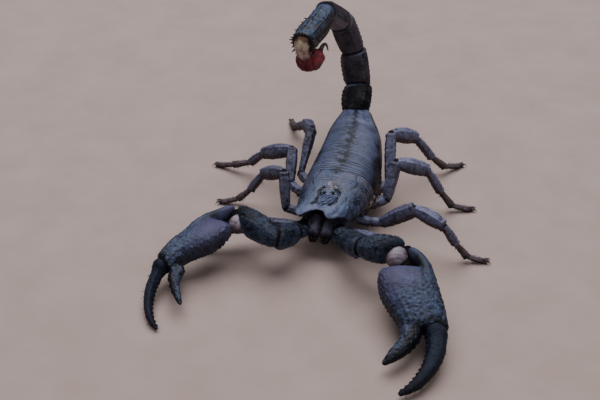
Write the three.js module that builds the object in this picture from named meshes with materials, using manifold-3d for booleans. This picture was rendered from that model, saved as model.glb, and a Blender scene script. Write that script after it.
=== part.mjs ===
// Black forest scorpion, standing with its claws spread and its tail arched, at life size.
// Millimetres, +Z up. The animal faces -Y, its left side is +X, and it stands on Z = 0.
import * as THREE from "three";
import { mergeVertices } from "three/addons/utils/BufferGeometryUtils.js";
import Module from "manifold-3d";

const wasm = await Module();
wasm.setup();

// ---------------------------------------------------------------- driving dimensions
const GAP = 0.3; // clear space between neighbouring pieces
const BODY_BOW = 2.3; // sideways bend of the spine
const BODY_BOW_SPAN = 51;
const HEAD_FRONT = -1.8; // front edge of the carapace
const HEAD_TURN = 0.1; // slope of that edge: the head looks to the animal's right
const HEAD_SWAY = 1.7; // how far the front of the head is carried to the right
const NECK_Y = 7; // the head is bent ahead of here
const HEAD_BEND_LENGTH = 7.5;
const CARAPACE_END = 15.5;
const UNDERSIDE_END = 27.2; // rear of the block that carries the leg bases
const BODY_END = 56;
const NOTCH_DEPTH = 2.6; // median notch in the front edge of the carapace
const NOTCH_HALF_WIDTH = 2.3;
const LOBE_ROUNDING = 3.2; // how far the outer corners of the front edge are drawn back
const PLATE_LIP = 0.9; // thickness of a plate at its side edge
const EYE_Y = 6;
const EYE_RADIUS = 0.5;
const EYE_SPREAD = 1.25; // each median eye from the midline
const TERGITE_ENDS = [18, 20.8, 24.6, 29.6, 35.6, 43.2, BODY_END]; // rear edge of each back plate
const TAIL_WIDTHS = [9.6, 8.9, 8.1, 7.7, 7.2];
const TAIL_HEIGHTS = [8.6, 8.2, 7.7, 7.3, 6.8];
const TAIL_SWELL = [[0, 0.86], [0.45, 1.0], [1, 0.94]]; // share of full size along a segment
const LAST_TAIL_SWELL = [[0, 0.92], [0.25, 1.0], [0.8, 0.98], [1, 0.86]];
const TAIL_LEAN = 0.12; // rise of the tail's own left-right axis
const VESICLE_WIDTH = 6.8;
const VESICLE_DEPTH = 6.2;
const FINGER_BASE = 24; // distance from the wrist to the end of the palm
const FINGER_ROOT = 22; // the fingers bend about this point
const FINGER_BASE_OUT = 5.5;
const FOOT_JOINT_HEIGHT = 1.9;
const FOOT_TIP_HEIGHT = 0.72;
const SOLE_HEIGHT = 0.25; // level at which the feet are flattened
const FLANK_INSET = 0.7; // the soft flank from the side edge of the plates
const BELLY_SHARE = 0.84; // width of the belly plates over that of the back
const UNDERSIDE_SHARE = 0.9; // width of the block that carries the legs over that of the back
const UNDERSIDE_FRONT = 2.4;

// Leg segments of the four pairs, front to rear: femur, patella, tibia, basitarsus, tarsus.
const LEG_LENGTHS = [
  [9.0, 8.0, 6.0, 5.5, 5.2],
  [10.5, 9.5, 7.2, 6.4, 6.0],
  [11.0, 11.0, 8.2, 7.4, 6.8],
  [15.0, 12.0, 10.0, 8.0, 7.2],
];
const LEG_GIRTHS = [
  [2.9, 3.1, 2.3, 1.8, 1.5],
  [3.2, 3.4, 2.6, 1.9, 1.6],
  [3.4, 3.6, 2.7, 2.0, 1.7],
  [3.4, 3.7, 2.8, 2.1, 1.7],
];
const LEG_DEPTH_RATIO = [1.5, 1.25, 1.2, 1.15, 1.05]; // height over width of each segment

// Each leg's stance: where its femur starts, the compass heading of its five segments in degrees
// anticlockwise from +X, and the heights of its first four joints.
const STANCE = {
  left: [
    { hip: [10.6, 2.2], headings: [-26, -28, -60, -90, -100], heights: [5.6, 8, 8, 4.8] },
    { hip: [17, 7], headings: [2, -22, 14, 11, 13], heights: [9, 15, 13, 7] },
    { hip: [16.5, 18], headings: [82, 20, 22, 16, 18], heights: [10, 19.5, 15, 8] },
    { hip: [15.5, 27], headings: [102, 50, 32, 28, 52], heights: [9.5, 21, 15.5, 7.5] },
  ],
  right: [
    { hip: [-10, 2.4], headings: [198, 198, 212, 208, 215], heights: [5.6, 7.4, 6.5, 4.2] },
    { hip: [-13, 9], headings: [105, 157, 171, 185, 192], heights: [8, 17, 12.5, 6.5] },
    { hip: [-14.5, 20.5], headings: [97, 170, 148, 170, 162], heights: [9, 15.5, 11, 5.5] },
    { hip: [-13, 28.5], headings: [86, 112, 120, 124, 104], heights: [7.5, 16.5, 12, 6.5] },
  ],
};
// Where each pair of legs leaves the underside, front to rear.
const COXA_Y = [5, 8.5, 13, 18];
const COXA_Z = [5.8, 6.8, 7.2, 7.2];
const COXA_SPREAD = 6; // the leg's line crosses the underside this far from the midline
const COXA_ROOT_SPREAD = 2.5;
const COXA_SIZE = 0.9; // share of the femur's width
const TROCHANTER_LENGTH = 4.5;
const KNUCKLE_OVERLAP = 0.36; // of a segment's width, where two of them join in one piece

// Joint centres of the arched tail, base to tip, and the curled sting beyond it.
const TAIL_JOINTS = [
  [-0.9, 57.3, 13.8],
  [-2.0, 65.0, 20.4],
  [-4.8, 68.9, 31.2],
  [-8.7, 67.3, 42.0],
  [-11.9, 58.5, 48.5],
  [-14.8, 36.4, 46.8],
];
const VESICLE_PATH = [
  [-14.3, 35.2, 41.9],
  [-13.8, 37.9, 40.8],
  [-12.5, 41.9, 40.6],
  [-11.1, 46.2, 41.5],
];
const ACULEUS_PATH = [
  [-11.1, 46.2, 41.5],
  [-10.6, 48.6, 42.4],
  [-10.1, 50.5, 41.8],
  [-9.6, 51.4, 39.1],
];

// Joint centres of each pedipalp: hip, trochanter, elbow and wrist. The hand runs from handBase toward
// reach, is rolled about that line, and its fingers are curled inward and drooped by these degrees.
// Its breadths are shares of the outlines below: the right hand is held more tightly and is slimmer.
const PALPS = {
  left: {
    joints: [[4.9, 1.0, 8.0], [7.7, -2.5, 8.6], [13.6, -11.7, 13.3], [25.2, -11.0, 15.6]],
    handBase: [25.2, -12.2, 14.6],
    reach: [31.7, -53, 3],
    roll: 0,
    innerBreadth: 1,
    outerBreadth: 1,
    thickness: 10,
    curl: 0,
    droop: 0,
  },
  right: {
    joints: [[-4.8, 1.0, 8.0], [-7.0, -2.7, 8.6], [-9.8, -12.2, 12.2], [-23.4, -4.2, 13.4]],
    handBase: [-24.4, -5.4, 12.4],
    reach: [-40.6, -44.3, 5.6],
    roll: 4,
    innerBreadth: 0.48,
    outerBreadth: 0.86,
    thickness: 8,
    curl: 14,
    droop: 12.5,
  },
};
const PALP_ROOT = [2.4, 5, 8]; // where a pedipalp's coxa leaves the underside
const PALP_JOINT_REACH = 2.6; // how far an arm segment runs on before its joint cuts it
const PALP_WIDTHS = { coxa: 4.2, trochanter: 6.2, femur: 7.0, patella: 7.6 };

// Jaws, from under the carapace to their tips.
const CHELICERA_PATH = [
  [1.85, 2.0, 7.9],
  [1.85, -1.2, 7.9],
  [1.7, -3.1, 7.2],
  [1.3, -4.2, 6.3],
];
const COMB_Y = 23.2;
const COMB_SPREAD = 1.6; // root of each comb from the midline
const COMB_REACH = [8, 4.5, 0.25]; // outward, rearward and up, root to tip
const COMB_THICKNESS = 0.8;
const CHELICERA_WIDTH = 3.2;
const CHELICERA_DEPTH = 3.6;

// Half outlines of the hand, measured along the claw from the wrist.
const HAND_START = -1.5;
const HAND_END = 24.6;
const HAND_INNER = [
  [HAND_START, -2.6], [1, -4.3], [4.5, -4.8], [7.5, -6.1], [12, -6.2], [15.5, -5.0], [19, -3.0], [22, -0.8],
  [HAND_END, 0.6],
];
const HAND_OUTER = [
  [HAND_START, 3.4], [2, 6.8], [7, 8.4], [12, 9.6], [17, 11.0], [21, 11.8], [HAND_END, 12.0],
];
const FIXED_FINGER = [[20, 4.6], [25.5, 2.7], [29, 0.9], [32.2, -1.9], [34.9, -4.5]];
const MOVABLE_FINGER = [[23, 9.0], [28.7, 9.1], [33, 8.2], [37, 6.3], [40.6, 3.5], [43.2, -0.6]];

// ---------------------------------------------------------------- small helpers
const vec = (p) => new THREE.Vector3(...p);
const UP = new THREE.Vector3(0, 0, 1);

// A smooth function through [place, value] stops.
function profile(stops) {
  const slope = (k) => {
    const before = stops[Math.max(k - 1, 0)];
    const after = stops[Math.min(k + 1, stops.length - 1)];
    return (after[1] - before[1]) / (after[0] - before[0]);
  };
  return (x) => {
    let i = 0;
    while (i < stops.length - 2 && x > stops[i + 1][0]) i += 1;
    const span = stops[i + 1][0] - stops[i][0];
    const s = THREE.MathUtils.clamp((x - stops[i][0]) / span, 0, 1);
    const rise = stops[i + 1][1] - stops[i][1];
    const cubic = s * s * (3 - 2 * s);
    const lead = s * (1 - s) * (1 - s) * slope(i) * span;
    const trail = s * s * (s - 1) * slope(i + 1) * span;
    return stops[i][1] + cubic * rise + lead + trail;
  };
}

// Closed solid whose rings are put in place by place(t, angle, isCentre): t runs 0 to 1 along it.
function sweep(rings, sides, place) {
  const geometry = new THREE.CylinderGeometry(1, 1, 1, sides, rings);
  geometry.deleteAttribute("normal");
  geometry.deleteAttribute("uv");
  const position = geometry.attributes.position;
  for (let i = 0; i < position.count; i += 1) {
    const x = position.getX(i);
    const z = position.getZ(i);
    const isCentre = Math.hypot(x, z) < 0.5;
    const point = place(0.5 - position.getY(i), Math.atan2(x, z), isCentre);
    position.setXYZ(i, point.x, point.y, point.z);
  }
  return solidOf(geometry);
}

function solidOf(geometry) {
  const merged = mergeVertices(geometry, 1e-4);
  return new wasm.Manifold(
    new wasm.Mesh({
      numProp: 3,
      vertProperties: new Float32Array(merged.attributes.position.array),
      triVerts: new Uint32Array(merged.index.array),
    }),
  );
}

// Point at an angle round a rounded-square section; squareness 2 is an ellipse.
function sectionPoint(angle, halfWidth, halfHeight, squareness) {
  const round = (v) => Math.sign(v) * Math.abs(v) ** (2 / squareness);
  return [halfWidth * round(Math.sin(angle)), halfHeight * round(Math.cos(angle))];
}

// Tube along a curve. width(t) and height(t) are its full sizes; up is the back of the segment.
function limb(curve, up, width, height, { rings = 5, sides = 10, squareness = 2.3 } = {}) {
  const frames = [];
  for (let k = 0; k <= rings; k += 1) {
    const tangent = curve.getTangent(k / rings);
    const side = new THREE.Vector3().crossVectors(up, tangent).normalize();
    const back = new THREE.Vector3().crossVectors(tangent, side);
    frames.push({ centre: curve.getPoint(k / rings), side, back });
  }
  return sweep(rings, sides, (t, angle, isCentre) => {
    const { centre, side, back } = frames[Math.round(t * rings)];
    if (isCentre) return centre.clone();
    const [w, h] = sectionPoint(angle, width(t) / 2, height(t) / 2, squareness);
    return centre.clone().addScaledVector(side, w).addScaledVector(back, h);
  });
}

// Keeps what lies ahead of a plane through point, half the joint gap in front of it.
function cutBehind(solid, point, normal) {
  const n = normal.clone().normalize();
  return solid.trimByPlane(n.toArray(), n.dot(point) + GAP / 2);
}

const direction = (a, b) => new THREE.Vector3().subVectors(b, a).normalize();

// A straight segment between two joints, run on past them and cut at the plane halfway between
// it and its neighbour. A joint with no neighbour is not cut; overrun is how far it runs past one.
function segment(from, to, before, after, up, girth, options = {}) {
  const heading = direction(from, to);
  const reach = options.reach ?? girth.width(0.5) * 0.6;
  const [early, late] = options.overrun ?? [0, 0];
  const start = from.clone().addScaledVector(heading, before ? -reach : -early);
  const end = to.clone().addScaledVector(heading, after ? reach : late);
  const whole = start.distanceTo(end);
  const inset = start.distanceTo(from) / whole;
  const span = from.distanceTo(to) / whole;
  const own = (t) => THREE.MathUtils.clamp((t - inset) / span, 0, 1);
  const curve = new THREE.LineCurve3(start, end);
  let solid = limb(curve, up, (t) => girth.width(own(t)), (t) => girth.height(own(t)), options);
  if (before) solid = cutBehind(solid, from, before.clone().add(heading));
  if (after) solid = cutBehind(solid, to, after.clone().add(heading).negate());
  return solid;
}

// ---------------------------------------------------------------- output group
const scorpion = new THREE.Group();

const SHELL = {
  slate: { color: 0x3c4656, roughness: 0.42 },
  black: { color: 0x17161b, roughness: 0.3 },
  blue: { color: 0x2b3a48, roughness: 0.45 },
  purple: { color: 0x4a4757, roughness: 0.6 },
  leg: { color: 0x35333d, roughness: 0.4 },
  foot: { color: 0x4a3430, roughness: 0.5 },
  red: { color: 0x4a1c1e, roughness: 0.3 },
  skin: { color: 0x3d342c, roughness: 0.7 },
  eye: { color: 0x060606, roughness: 0.08 },
};

function show(name, solid, finish) {
  const mesh = solid.getMesh();
  const geometry = new THREE.BufferGeometry();
  geometry.setAttribute("position", new THREE.BufferAttribute(mesh.vertProperties, 3));
  geometry.setIndex(new THREE.BufferAttribute(mesh.triVerts, 1));
  geometry.computeVertexNormals();
  const look = new THREE.MeshStandardMaterial({ metalness: 0, ...SHELL[finish] });
  const piece = new THREE.Mesh(geometry, look);
  piece.name = name;
  scorpion.add(piece);
}

// ---------------------------------------------------------------- trunk
function spineX(y) {
  const bend = THREE.MathUtils.clamp((NECK_Y - y) / HEAD_BEND_LENGTH, 0, 1.2);
  return BODY_BOW * Math.sin((Math.PI * y) / BODY_BOW_SPAN) - HEAD_SWAY * bend * bend;
}
const halfWidth = profile([
  [HEAD_FRONT, 5.7], [0, 6.5], [5, 8.6], [11, 9.9], [18, 10.4],
  [27, 10.1], [35, 9.4], [45, 8.2], [51, 6.7], [BODY_END, 5.2],
]);
const backHeight = profile([
  [HEAD_FRONT, 13.2], [0, 14.2], [6, 17.2], [13, 18.9], [24, 20], [33, 20.2], [43, 19.6], [BODY_END, 17.6],
]);
const rimHeight = profile([[HEAD_FRONT, 11.2], [0, 11.2], [8, 11.4], [20, 12], [45, 12.4], [BODY_END, 12.8]]);
const bellyHeight = profile([[0, 7.0], [8, 5.6], [20, 5.2], [40, 5.6], [50, 7.2], [BODY_END, 9.6]]);

// Arched plate: a domed back over a flat underside, between front(x) and the plane y = rear.
function backPlate(front, rear, { rings = 2, sides = 16, squareness = 2.5 } = {}) {
  return sweep(rings, sides, (t, angle, isCentre) => {
    const across = isCentre ? 0 : Math.sin(angle);
    const y = THREE.MathUtils.lerp(rear, front(across), t);
    const w = halfWidth(y);
    const rim = rimHeight(y);
    const dome = backHeight(y) - rim;
    if (isCentre) return new THREE.Vector3(spineX(y), y, rim);
    const [x, z] = sectionPoint(angle, w, dome, squareness);
    const under = Math.cos(angle) < -1e-6;
    return new THREE.Vector3(spineX(y) + x, y, under ? rim - PLATE_LIP : rim + z);
  });
}

const FRONT_CLEARANCE = rimHeight(0) - PLATE_LIP - GAP; // room under the front of the carapace

function carapace() {
  const frontEdge = (across) => {
    const x = across * halfWidth(HEAD_FRONT);
    const notch = NOTCH_DEPTH * Math.exp(-((x / NOTCH_HALF_WIDTH) ** 2));
    return HEAD_FRONT + HEAD_TURN * x + notch + LOBE_ROUNDING * Math.abs(across) ** 6;
  };
  return backPlate(frontEdge, CARAPACE_END - GAP / 2, { rings: 6, sides: 24 });
}

show("carapace", carapace(), "slate");
TERGITE_ENDS.forEach((end, i) => {
  const start = i ? TERGITE_ENDS[i - 1] : CARAPACE_END;
  const rings = Math.max(1, Math.round((end - start) / 4));
  show(`tergite_${i + 1}`, backPlate(() => start + GAP / 2, end - GAP / 2, { rings }), "slate");
});

// Eye mound and its pair of eyes ride on the carapace; each eye is a bead of its own.
function medianEye(side) {
  const y = EYE_Y + side * HEAD_TURN * EYE_SPREAD;
  const centre = [spineX(y) + side * EYE_SPREAD, y, backHeight(y) + EYE_RADIUS];
  const geometry = new THREE.SphereGeometry(EYE_RADIUS, 8, 5);
  geometry.deleteAttribute("normal");
  geometry.deleteAttribute("uv");
  return solidOf(geometry.translate(...centre));
}
show("median_eye_left", medianEye(1), "eye");
show("median_eye_right", medianEye(-1), "eye");

// Soft flanks between the back plates and the belly plates.
function flank() {
  const front = UNDERSIDE_END + GAP;
  const rear = BODY_END - 1;
  return sweep(6, 12, (t, angle, isCentre) => {
    const y = THREE.MathUtils.lerp(rear, front, t);
    const top = rimHeight(y) - PLATE_LIP - GAP;
    const floor = bellyHeight(y) + PLATE_LIP + GAP;
    const mid = (top + floor) / 2;
    if (isCentre) return new THREE.Vector3(spineX(y), y, mid);
    const [x, z] = sectionPoint(angle, halfWidth(y) - FLANK_INSET, (top - floor) / 2, 4);
    return new THREE.Vector3(spineX(y) + x, y, mid + z);
  });
}

// Belly plates, in one run of broad shallow steps.
function bellyPlates() {
  const front = UNDERSIDE_END + GAP;
  const rear = BODY_END - 1;
  return sweep(6, 12, (t, angle, isCentre) => {
    const y = THREE.MathUtils.lerp(rear, front, t);
    const top = bellyHeight(y) + PLATE_LIP;
    if (isCentre) return new THREE.Vector3(spineX(y), y, top - PLATE_LIP / 2);
    const [x, z] = sectionPoint(angle, halfWidth(y) * BELLY_SHARE, PLATE_LIP, 2.6);
    return new THREE.Vector3(spineX(y) + x, y, z > -1e-6 ? top : top + z);
  });
}
show("flank_membrane", flank(), "skin");
show("belly_plates", bellyPlates(), "leg");

// ---------------------------------------------------------------- legs
function legJoints(side, pair) {
  const { hip, headings, heights } = STANCE[side][pair];
  const levels = [...heights, FOOT_JOINT_HEIGHT, FOOT_TIP_HEIGHT];
  const joints = [new THREE.Vector3(hip[0], hip[1], levels[0])];
  LEG_LENGTHS[pair].forEach((length, i) => {
    const rise = levels[i + 1] - levels[i];
    const run = Math.sqrt(length * length - rise * rise);
    const heading = THREE.MathUtils.degToRad(headings[i]);
    const last = joints[i];
    joints.push(
      new THREE.Vector3(last.x + run * Math.cos(heading), last.y + run * Math.sin(heading), levels[i + 1]),
    );
  });
  return joints;
}

// Where the leg meets the underside of the head region, one trochanter short of its hip.
function coxaEnd(side, pair) {
  const sign = side === "left" ? 1 : -1;
  const root = new THREE.Vector3(spineX(COXA_Y[pair]) + sign * COXA_SPREAD, COXA_Y[pair], COXA_Z[pair]);
  const hip = legJoints(side, pair)[0];
  return hip.clone().addScaledVector(direction(root, hip), -TROCHANTER_LENGTH);
}

const barrel = (size, start, end) => profile([[0, size * start], [0.45, size], [1, size * end]]);

function leg(side, pair) {
  const joints = legJoints(side, pair);
  const coxa = coxaEnd(side, pair);
  const points = [coxa, ...joints];
  const sizes = [LEG_GIRTHS[pair][0] * 0.8, ...LEG_GIRTHS[pair]];
  const depths = [1, ...LEG_DEPTH_RATIO];
  const heading = (i) => direction(points[i], points[i + 1]);
  const part = (i, before, after) => {
    const girth = {
      width: barrel(sizes[i], 0.78, 0.86),
      height: barrel(sizes[i] * depths[i], 0.78, 0.86),
    };
    const overlap = sizes[i] * KNUCKLE_OVERLAP;
    const options = { rings: 3, sides: i < 3 ? 8 : 7, overrun: i % 2 ? [overlap, 0] : [0, overlap] };
    return segment(points[i], points[i + 1], before, after, UP, girth, options);
  };
  // The two segments of one node run together through the joint between them.
  const pairOf = (i) => {
    const before = i > 0 ? heading(i - 1) : null;
    const after = i < 4 ? heading(i + 2) : null;
    return part(i, before, null).add(part(i + 1, null, after));
  };
  const name = `leg_${side}_${pair + 1}`;
  show(`${name}_femur`, pairOf(0), "leg");
  show(`${name}_shin`, pairOf(2), "leg");
  const foot = pairOf(4);
  show(`${name}_foot`, foot.trimByPlane([0, 0, 1], SOLE_HEIGHT), "foot");
}
for (const side of ["left", "right"]) {
  for (let pair = 0; pair < 4; pair += 1) leg(side, pair);
}

// ---------------------------------------------------------------- underside of the head region
// One of the pair of jaws under the front edge; spare is added all round it.
function chelicera(side, spare) {
  const path = new THREE.CatmullRomCurve3(
    CHELICERA_PATH.map(([x, y, z]) => new THREE.Vector3(x * side, y + spare, z)),
  );
  const swell = profile([[0, 0.84], [0.5, 1], [0.8, 0.74], [1, 0.28]]);
  const width = (t) => swell(t) * CHELICERA_WIDTH + 2 * spare;
  const height = (t) => swell(t) * CHELICERA_DEPTH + 2 * spare;
  return limb(path, UP, width, height, { rings: 5, sides: 8 });
}

function prosomaUnderside() {
  const front = UNDERSIDE_FRONT;
  const rear = UNDERSIDE_END;
  let solid = sweep(3, 10, (t, angle, isCentre) => {
    const y = THREE.MathUtils.lerp(rear, front, t);
    const top = rimHeight(y) - PLATE_LIP - GAP;
    const floor = bellyHeight(y);
    const mid = (top + floor) / 2;
    if (isCentre) return new THREE.Vector3(spineX(y), y, mid);
    const [x, z] = sectionPoint(angle, halfWidth(y) * UNDERSIDE_SHARE, (top - floor) / 2, 3);
    return new THREE.Vector3(spineX(y) + x, y, mid + z);
  });
  for (const side of ["left", "right"]) {
    const sign = side === "left" ? 1 : -1;
    for (let pair = 0; pair < 4; pair += 1) {
      const end = coxaEnd(side, pair);
      const hip = legJoints(side, pair)[0];
      const rootX = spineX(COXA_Y[pair]) + sign * COXA_ROOT_SPREAD;
      const root = new THREE.Vector3(rootX, COXA_Y[pair] + 1, COXA_Z[pair]);
      const size = LEG_GIRTHS[pair][0] * COXA_SIZE;
      const girth = { width: () => size, height: () => size };
      solid = solid.add(segment(root, end, null, direction(end, hip), UP, girth, { rings: 1, sides: 6 }));
    }
    const [hip, elbow] = PALPS[side].joints.map(vec);
    const root = vec(PALP_ROOT).multiply(new THREE.Vector3(sign, 1, 1));
    const girth = { width: () => PALP_WIDTHS.coxa, height: () => PALP_WIDTHS.coxa };
    solid = solid.add(segment(root, hip, null, direction(hip, elbow), UP, girth, { rings: 1, sides: 8 }));
    solid = solid.subtract(chelicera(sign, GAP));
  }
  return solid.trimByPlane([0, 0, -1], -FRONT_CLEARANCE);
}

show("prosoma_underside", prosomaUnderside(), "leg");

// ---------------------------------------------------------------- combs and mouthparts
function comb(side) {
  const z = bellyHeight(COMB_Y) - GAP - COMB_THICKNESS / 2;
  const root = new THREE.Vector3(spineX(COMB_Y) + side * COMB_SPREAD, COMB_Y, z);
  const tip = root.clone().add(new THREE.Vector3(side * COMB_REACH[0], COMB_REACH[1], COMB_REACH[2]));
  const size = profile([[0, 1.6], [0.5, 2.6], [1, 1.2]]);
  return limb(new THREE.LineCurve3(root, tip), UP, size, () => COMB_THICKNESS, { rings: 4, sides: 8 });
}
show("comb_left", comb(1), "skin");
show("comb_right", comb(-1), "skin");

show("chelicera_left", chelicera(1, 0), "black");
show("chelicera_right", chelicera(-1, 0), "black");

// ---------------------------------------------------------------- tail
function tailSegment(i, joints) {
  const from = joints[i];
  const to = joints[i + 1];
  const heading = direction(from, to);
  const before = i ? direction(joints[i - 1], from) : new THREE.Vector3(0, 1, 0);
  const after = i < 4 ? direction(to, joints[i + 2]) : null;
  const across = new THREE.Vector3(1, 0, TAIL_LEAN);
  const back = new THREE.Vector3().crossVectors(heading, across).negate().normalize();
  const swell = i === 4 ? LAST_TAIL_SWELL : TAIL_SWELL;
  const girth = {
    width: profile(swell.map(([t, k]) => [t, k * TAIL_WIDTHS[i]])),
    height: profile(swell.map(([t, k]) => [t, k * TAIL_HEIGHTS[i]])),
  };
  const solid = segment(from, to, before, after, back, girth, { rings: 5, sides: 12, squareness: 2.7 });
  return i ? solid : solid.trimByPlane([0, 1, 0], BODY_END + GAP);
}
const tailJoints = TAIL_JOINTS.map(vec);
TAIL_WIDTHS.forEach((width, i) => {
  show(`metasoma_${i + 1}`, tailSegment(i, tailJoints), i === 4 ? "blue" : "black");
});

function vesicle() {
  const path = new THREE.CatmullRomCurve3(VESICLE_PATH.map(vec));
  const width = profile([[0, 3.6], [0.25, 6.2], [0.55, VESICLE_WIDTH], [0.85, 5.0], [1, 2.6]]);
  const height = profile([[0, 3.4], [0.25, 5.6], [0.55, VESICLE_DEPTH], [0.85, 4.6], [1, 2.4]]);
  return limb(path, new THREE.Vector3(1, 0, 0), height, width, { rings: 8, sides: 10, squareness: 2 });
}

function aculeus() {
  const path = new THREE.CatmullRomCurve3(ACULEUS_PATH.map(vec));
  const size = profile([[0, 2.2], [0.4, 1.5], [0.8, 0.9], [1, 0.35]]);
  const solid = limb(path, new THREE.Vector3(1, 0, 0), size, size, { rings: 7, sides: 8, squareness: 2 });
  return cutBehind(solid, path.getPoint(0), path.getTangent(0));
}
const stingPath = new THREE.CatmullRomCurve3(ACULEUS_PATH.map(vec));
show("vesicle", cutBehind(vesicle(), stingPath.getPoint(0), stingPath.getTangent(0).negate()), "red");
show("aculeus", aculeus(), "black");

// ---------------------------------------------------------------- pedipalps
function palp(side) {
  const { joints, handBase, reach, roll, innerBreadth, outerBreadth, thickness, curl, droop } = PALPS[side];
  const [hip, trochanter, elbow, wrist] = joints.map(vec);
  const outward = side === "left" ? 1 : -1;
  const along = direction(vec(handBase), vec(reach));
  const points = [hip, trochanter, elbow, wrist];
  const root = vec(PALP_ROOT).multiply(new THREE.Vector3(outward, 1, 1));
  const headings = [direction(root, hip), direction(hip, trochanter), direction(trochanter, elbow)];
  headings.push(direction(elbow, wrist), along);
  const shapes = {
    trochanter: [[0, 0.8], [0.5, 1], [1, 0.85]],
    femur: [[0, 0.72], [0.5, 1], [1, 0.9]],
    patella: [[0, 0.66], [0.35, 0.98], [0.6, 1], [1, 0.72]],
  };
  Object.entries(shapes).forEach(([name, swell], i) => {
    const size = profile(swell.map(([t, k]) => [t, k * PALP_WIDTHS[name]]));
    const girth = { width: size, height: size };
    const options = { rings: 5, sides: 10, reach: PALP_JOINT_REACH };
    const from = points[i];
    const to = points[i + 1];
    let solid = segment(from, to, headings[i], headings[i + 2], UP, girth, options);
    if (i === 0) solid = solid.trimByPlane([0, 0, -1], -FRONT_CLEARANCE).subtract(chelicera(outward, GAP));
    show(`palp_${side}_${name}`, solid, i === 2 ? "blue" : "black");
  });

  // Hand frame: along the claw, outward to the movable finger, and up through its back.
  const flat = new THREE.Vector3().crossVectors(along, UP).multiplyScalar(-outward).normalize();
  flat.applyAxisAngle(along, THREE.MathUtils.degToRad(roll));
  const back = new THREE.Vector3().crossVectors(flat, along).multiplyScalar(outward).normalize();
  if (back.z < 0) back.negate();
  const place = (s, o, n) =>
    vec(handBase).addScaledVector(along, s).addScaledVector(flat, o).addScaledVector(back, n);

  const inner = profile(HAND_INNER.map(([s, o]) => [s, o * innerBreadth]));
  const outer = profile(HAND_OUTER.map(([s, o]) => [s, o * outerBreadth]));
  const depth = profile([
    [HAND_START, 5.4], [3, thickness * 0.86], [9, thickness], [16, thickness * 0.94], [HAND_END, 6.8],
  ]);
  const crown = profile([[HAND_START, 0], [10, 0], [HAND_END, -1.2]]);
  const palm = sweep(7, 12, (t, angle, isCentre) => {
    const s = THREE.MathUtils.lerp(HAND_START, FINGER_BASE, t);
    const mid = (inner(s) + outer(s)) / 2;
    if (isCentre) return place(s, mid, crown(s));
    const [a, b] = sectionPoint(angle, (outer(s) - inner(s)) / 2, depth(s) / 2, 2.4);
    return place(s, mid + a * outward, crown(s) + b);
  });
  const fingerRoot = place(FINGER_ROOT, FINGER_BASE_OUT * outerBreadth, 0);
  const bend = (point) =>
    point
      .sub(fingerRoot)
      .applyAxisAngle(back, THREE.MathUtils.degToRad(-curl * outward))
      .applyAxisAngle(flat, THREE.MathUtils.degToRad(droop * outward))
      .add(fingerRoot);
  const finger = (outline, size, tall, rise) => {
    const points = outline.map(([s, o], k) => {
      const point = place(s, o * outerBreadth, rise[k]);
      return s > FINGER_ROOT ? bend(point) : point;
    });
    const path = new THREE.CatmullRomCurve3(points);
    const girth = [size, tall].map((stops) => profile(stops.map(([t, full]) => [t, full * outerBreadth])));
    return limb(path, back, ...girth, { rings: 8, sides: 8, squareness: 2.2 });
  };
  const fixed = finger(
    FIXED_FINGER,
    [[0, 4.8], [0.35, 5.0], [0.6, 4.3], [0.85, 2.7], [1, 0.9]],
    [[0, 6.0], [0.35, 5.2], [0.7, 4.0], [1, 1.0]],
    [-1.2, -1.2, -1.0, -0.9, -1.0],
  );
  const movable = finger(
    MOVABLE_FINGER,
    [[0, 5.4], [0.2, 5.5], [0.4, 4.7], [0.6, 3.9], [0.8, 3.0], [1, 1.0]],
    [[0, 6.4], [0.3, 5.6], [0.6, 4.4], [0.85, 3.0], [1, 1.0]],
    [-1.2, -1.2, -1.0, -0.7, -0.7, -1.0],
  );
  const hand = palm.add(fixed);
  const knuckle = place(FINGER_BASE, 0, 0);
  show(`palp_${side}_hand`, cutBehind(hand, wrist, headings[3].clone().add(along)), "purple");
  show(`palp_${side}_movable_finger`, cutBehind(movable, knuckle, along), "black");
}
palp("left");
palp("right");

// ---------------------------------------------------------------- common frame
// The origin is the middle of the footprint, at floor level.
const bounds = new THREE.Box3().setFromObject(scorpion);
const middle = bounds.getCenter(new THREE.Vector3());
scorpion.children.forEach((piece) => {
  piece.geometry.translate(-middle.x, -middle.y, -bounds.min.z);
});

export default scorpion;
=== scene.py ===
"""Looks of the black forest scorpion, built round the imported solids. Lengths are in millimetres."""

import math
from collections import namedtuple
from itertools import product

import bpy
import numpy as np
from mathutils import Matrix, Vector


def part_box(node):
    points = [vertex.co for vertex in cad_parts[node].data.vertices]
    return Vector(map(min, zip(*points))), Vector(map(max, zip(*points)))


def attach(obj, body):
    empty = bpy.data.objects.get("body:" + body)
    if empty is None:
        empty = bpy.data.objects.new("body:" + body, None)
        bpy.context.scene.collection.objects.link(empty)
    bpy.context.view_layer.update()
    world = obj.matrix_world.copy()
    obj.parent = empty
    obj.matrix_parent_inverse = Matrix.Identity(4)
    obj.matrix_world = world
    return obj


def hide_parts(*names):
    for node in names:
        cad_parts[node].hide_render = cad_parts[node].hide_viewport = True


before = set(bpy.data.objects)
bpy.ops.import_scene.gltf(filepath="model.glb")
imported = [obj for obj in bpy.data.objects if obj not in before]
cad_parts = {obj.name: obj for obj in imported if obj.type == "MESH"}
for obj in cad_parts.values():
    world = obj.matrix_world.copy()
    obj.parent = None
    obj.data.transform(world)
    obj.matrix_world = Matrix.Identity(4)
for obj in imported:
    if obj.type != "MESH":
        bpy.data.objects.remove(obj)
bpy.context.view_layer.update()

MM = 0.001
UP = np.array([0.0, 0.0, 1.0])
REARWARD = np.array([0.0, 1.0, 0.0])
SIDES = {"left": 1, "right": -1}
PLATE_LIP = 0.9  # depth of a back plate's side edge
PLATE_SQUARENESS = 2.5
NOTCH_DEPTH = 2.6
NOTCH_HALF_WIDTH = 2.3
LOBE_ROUNDING = 3.2
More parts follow.
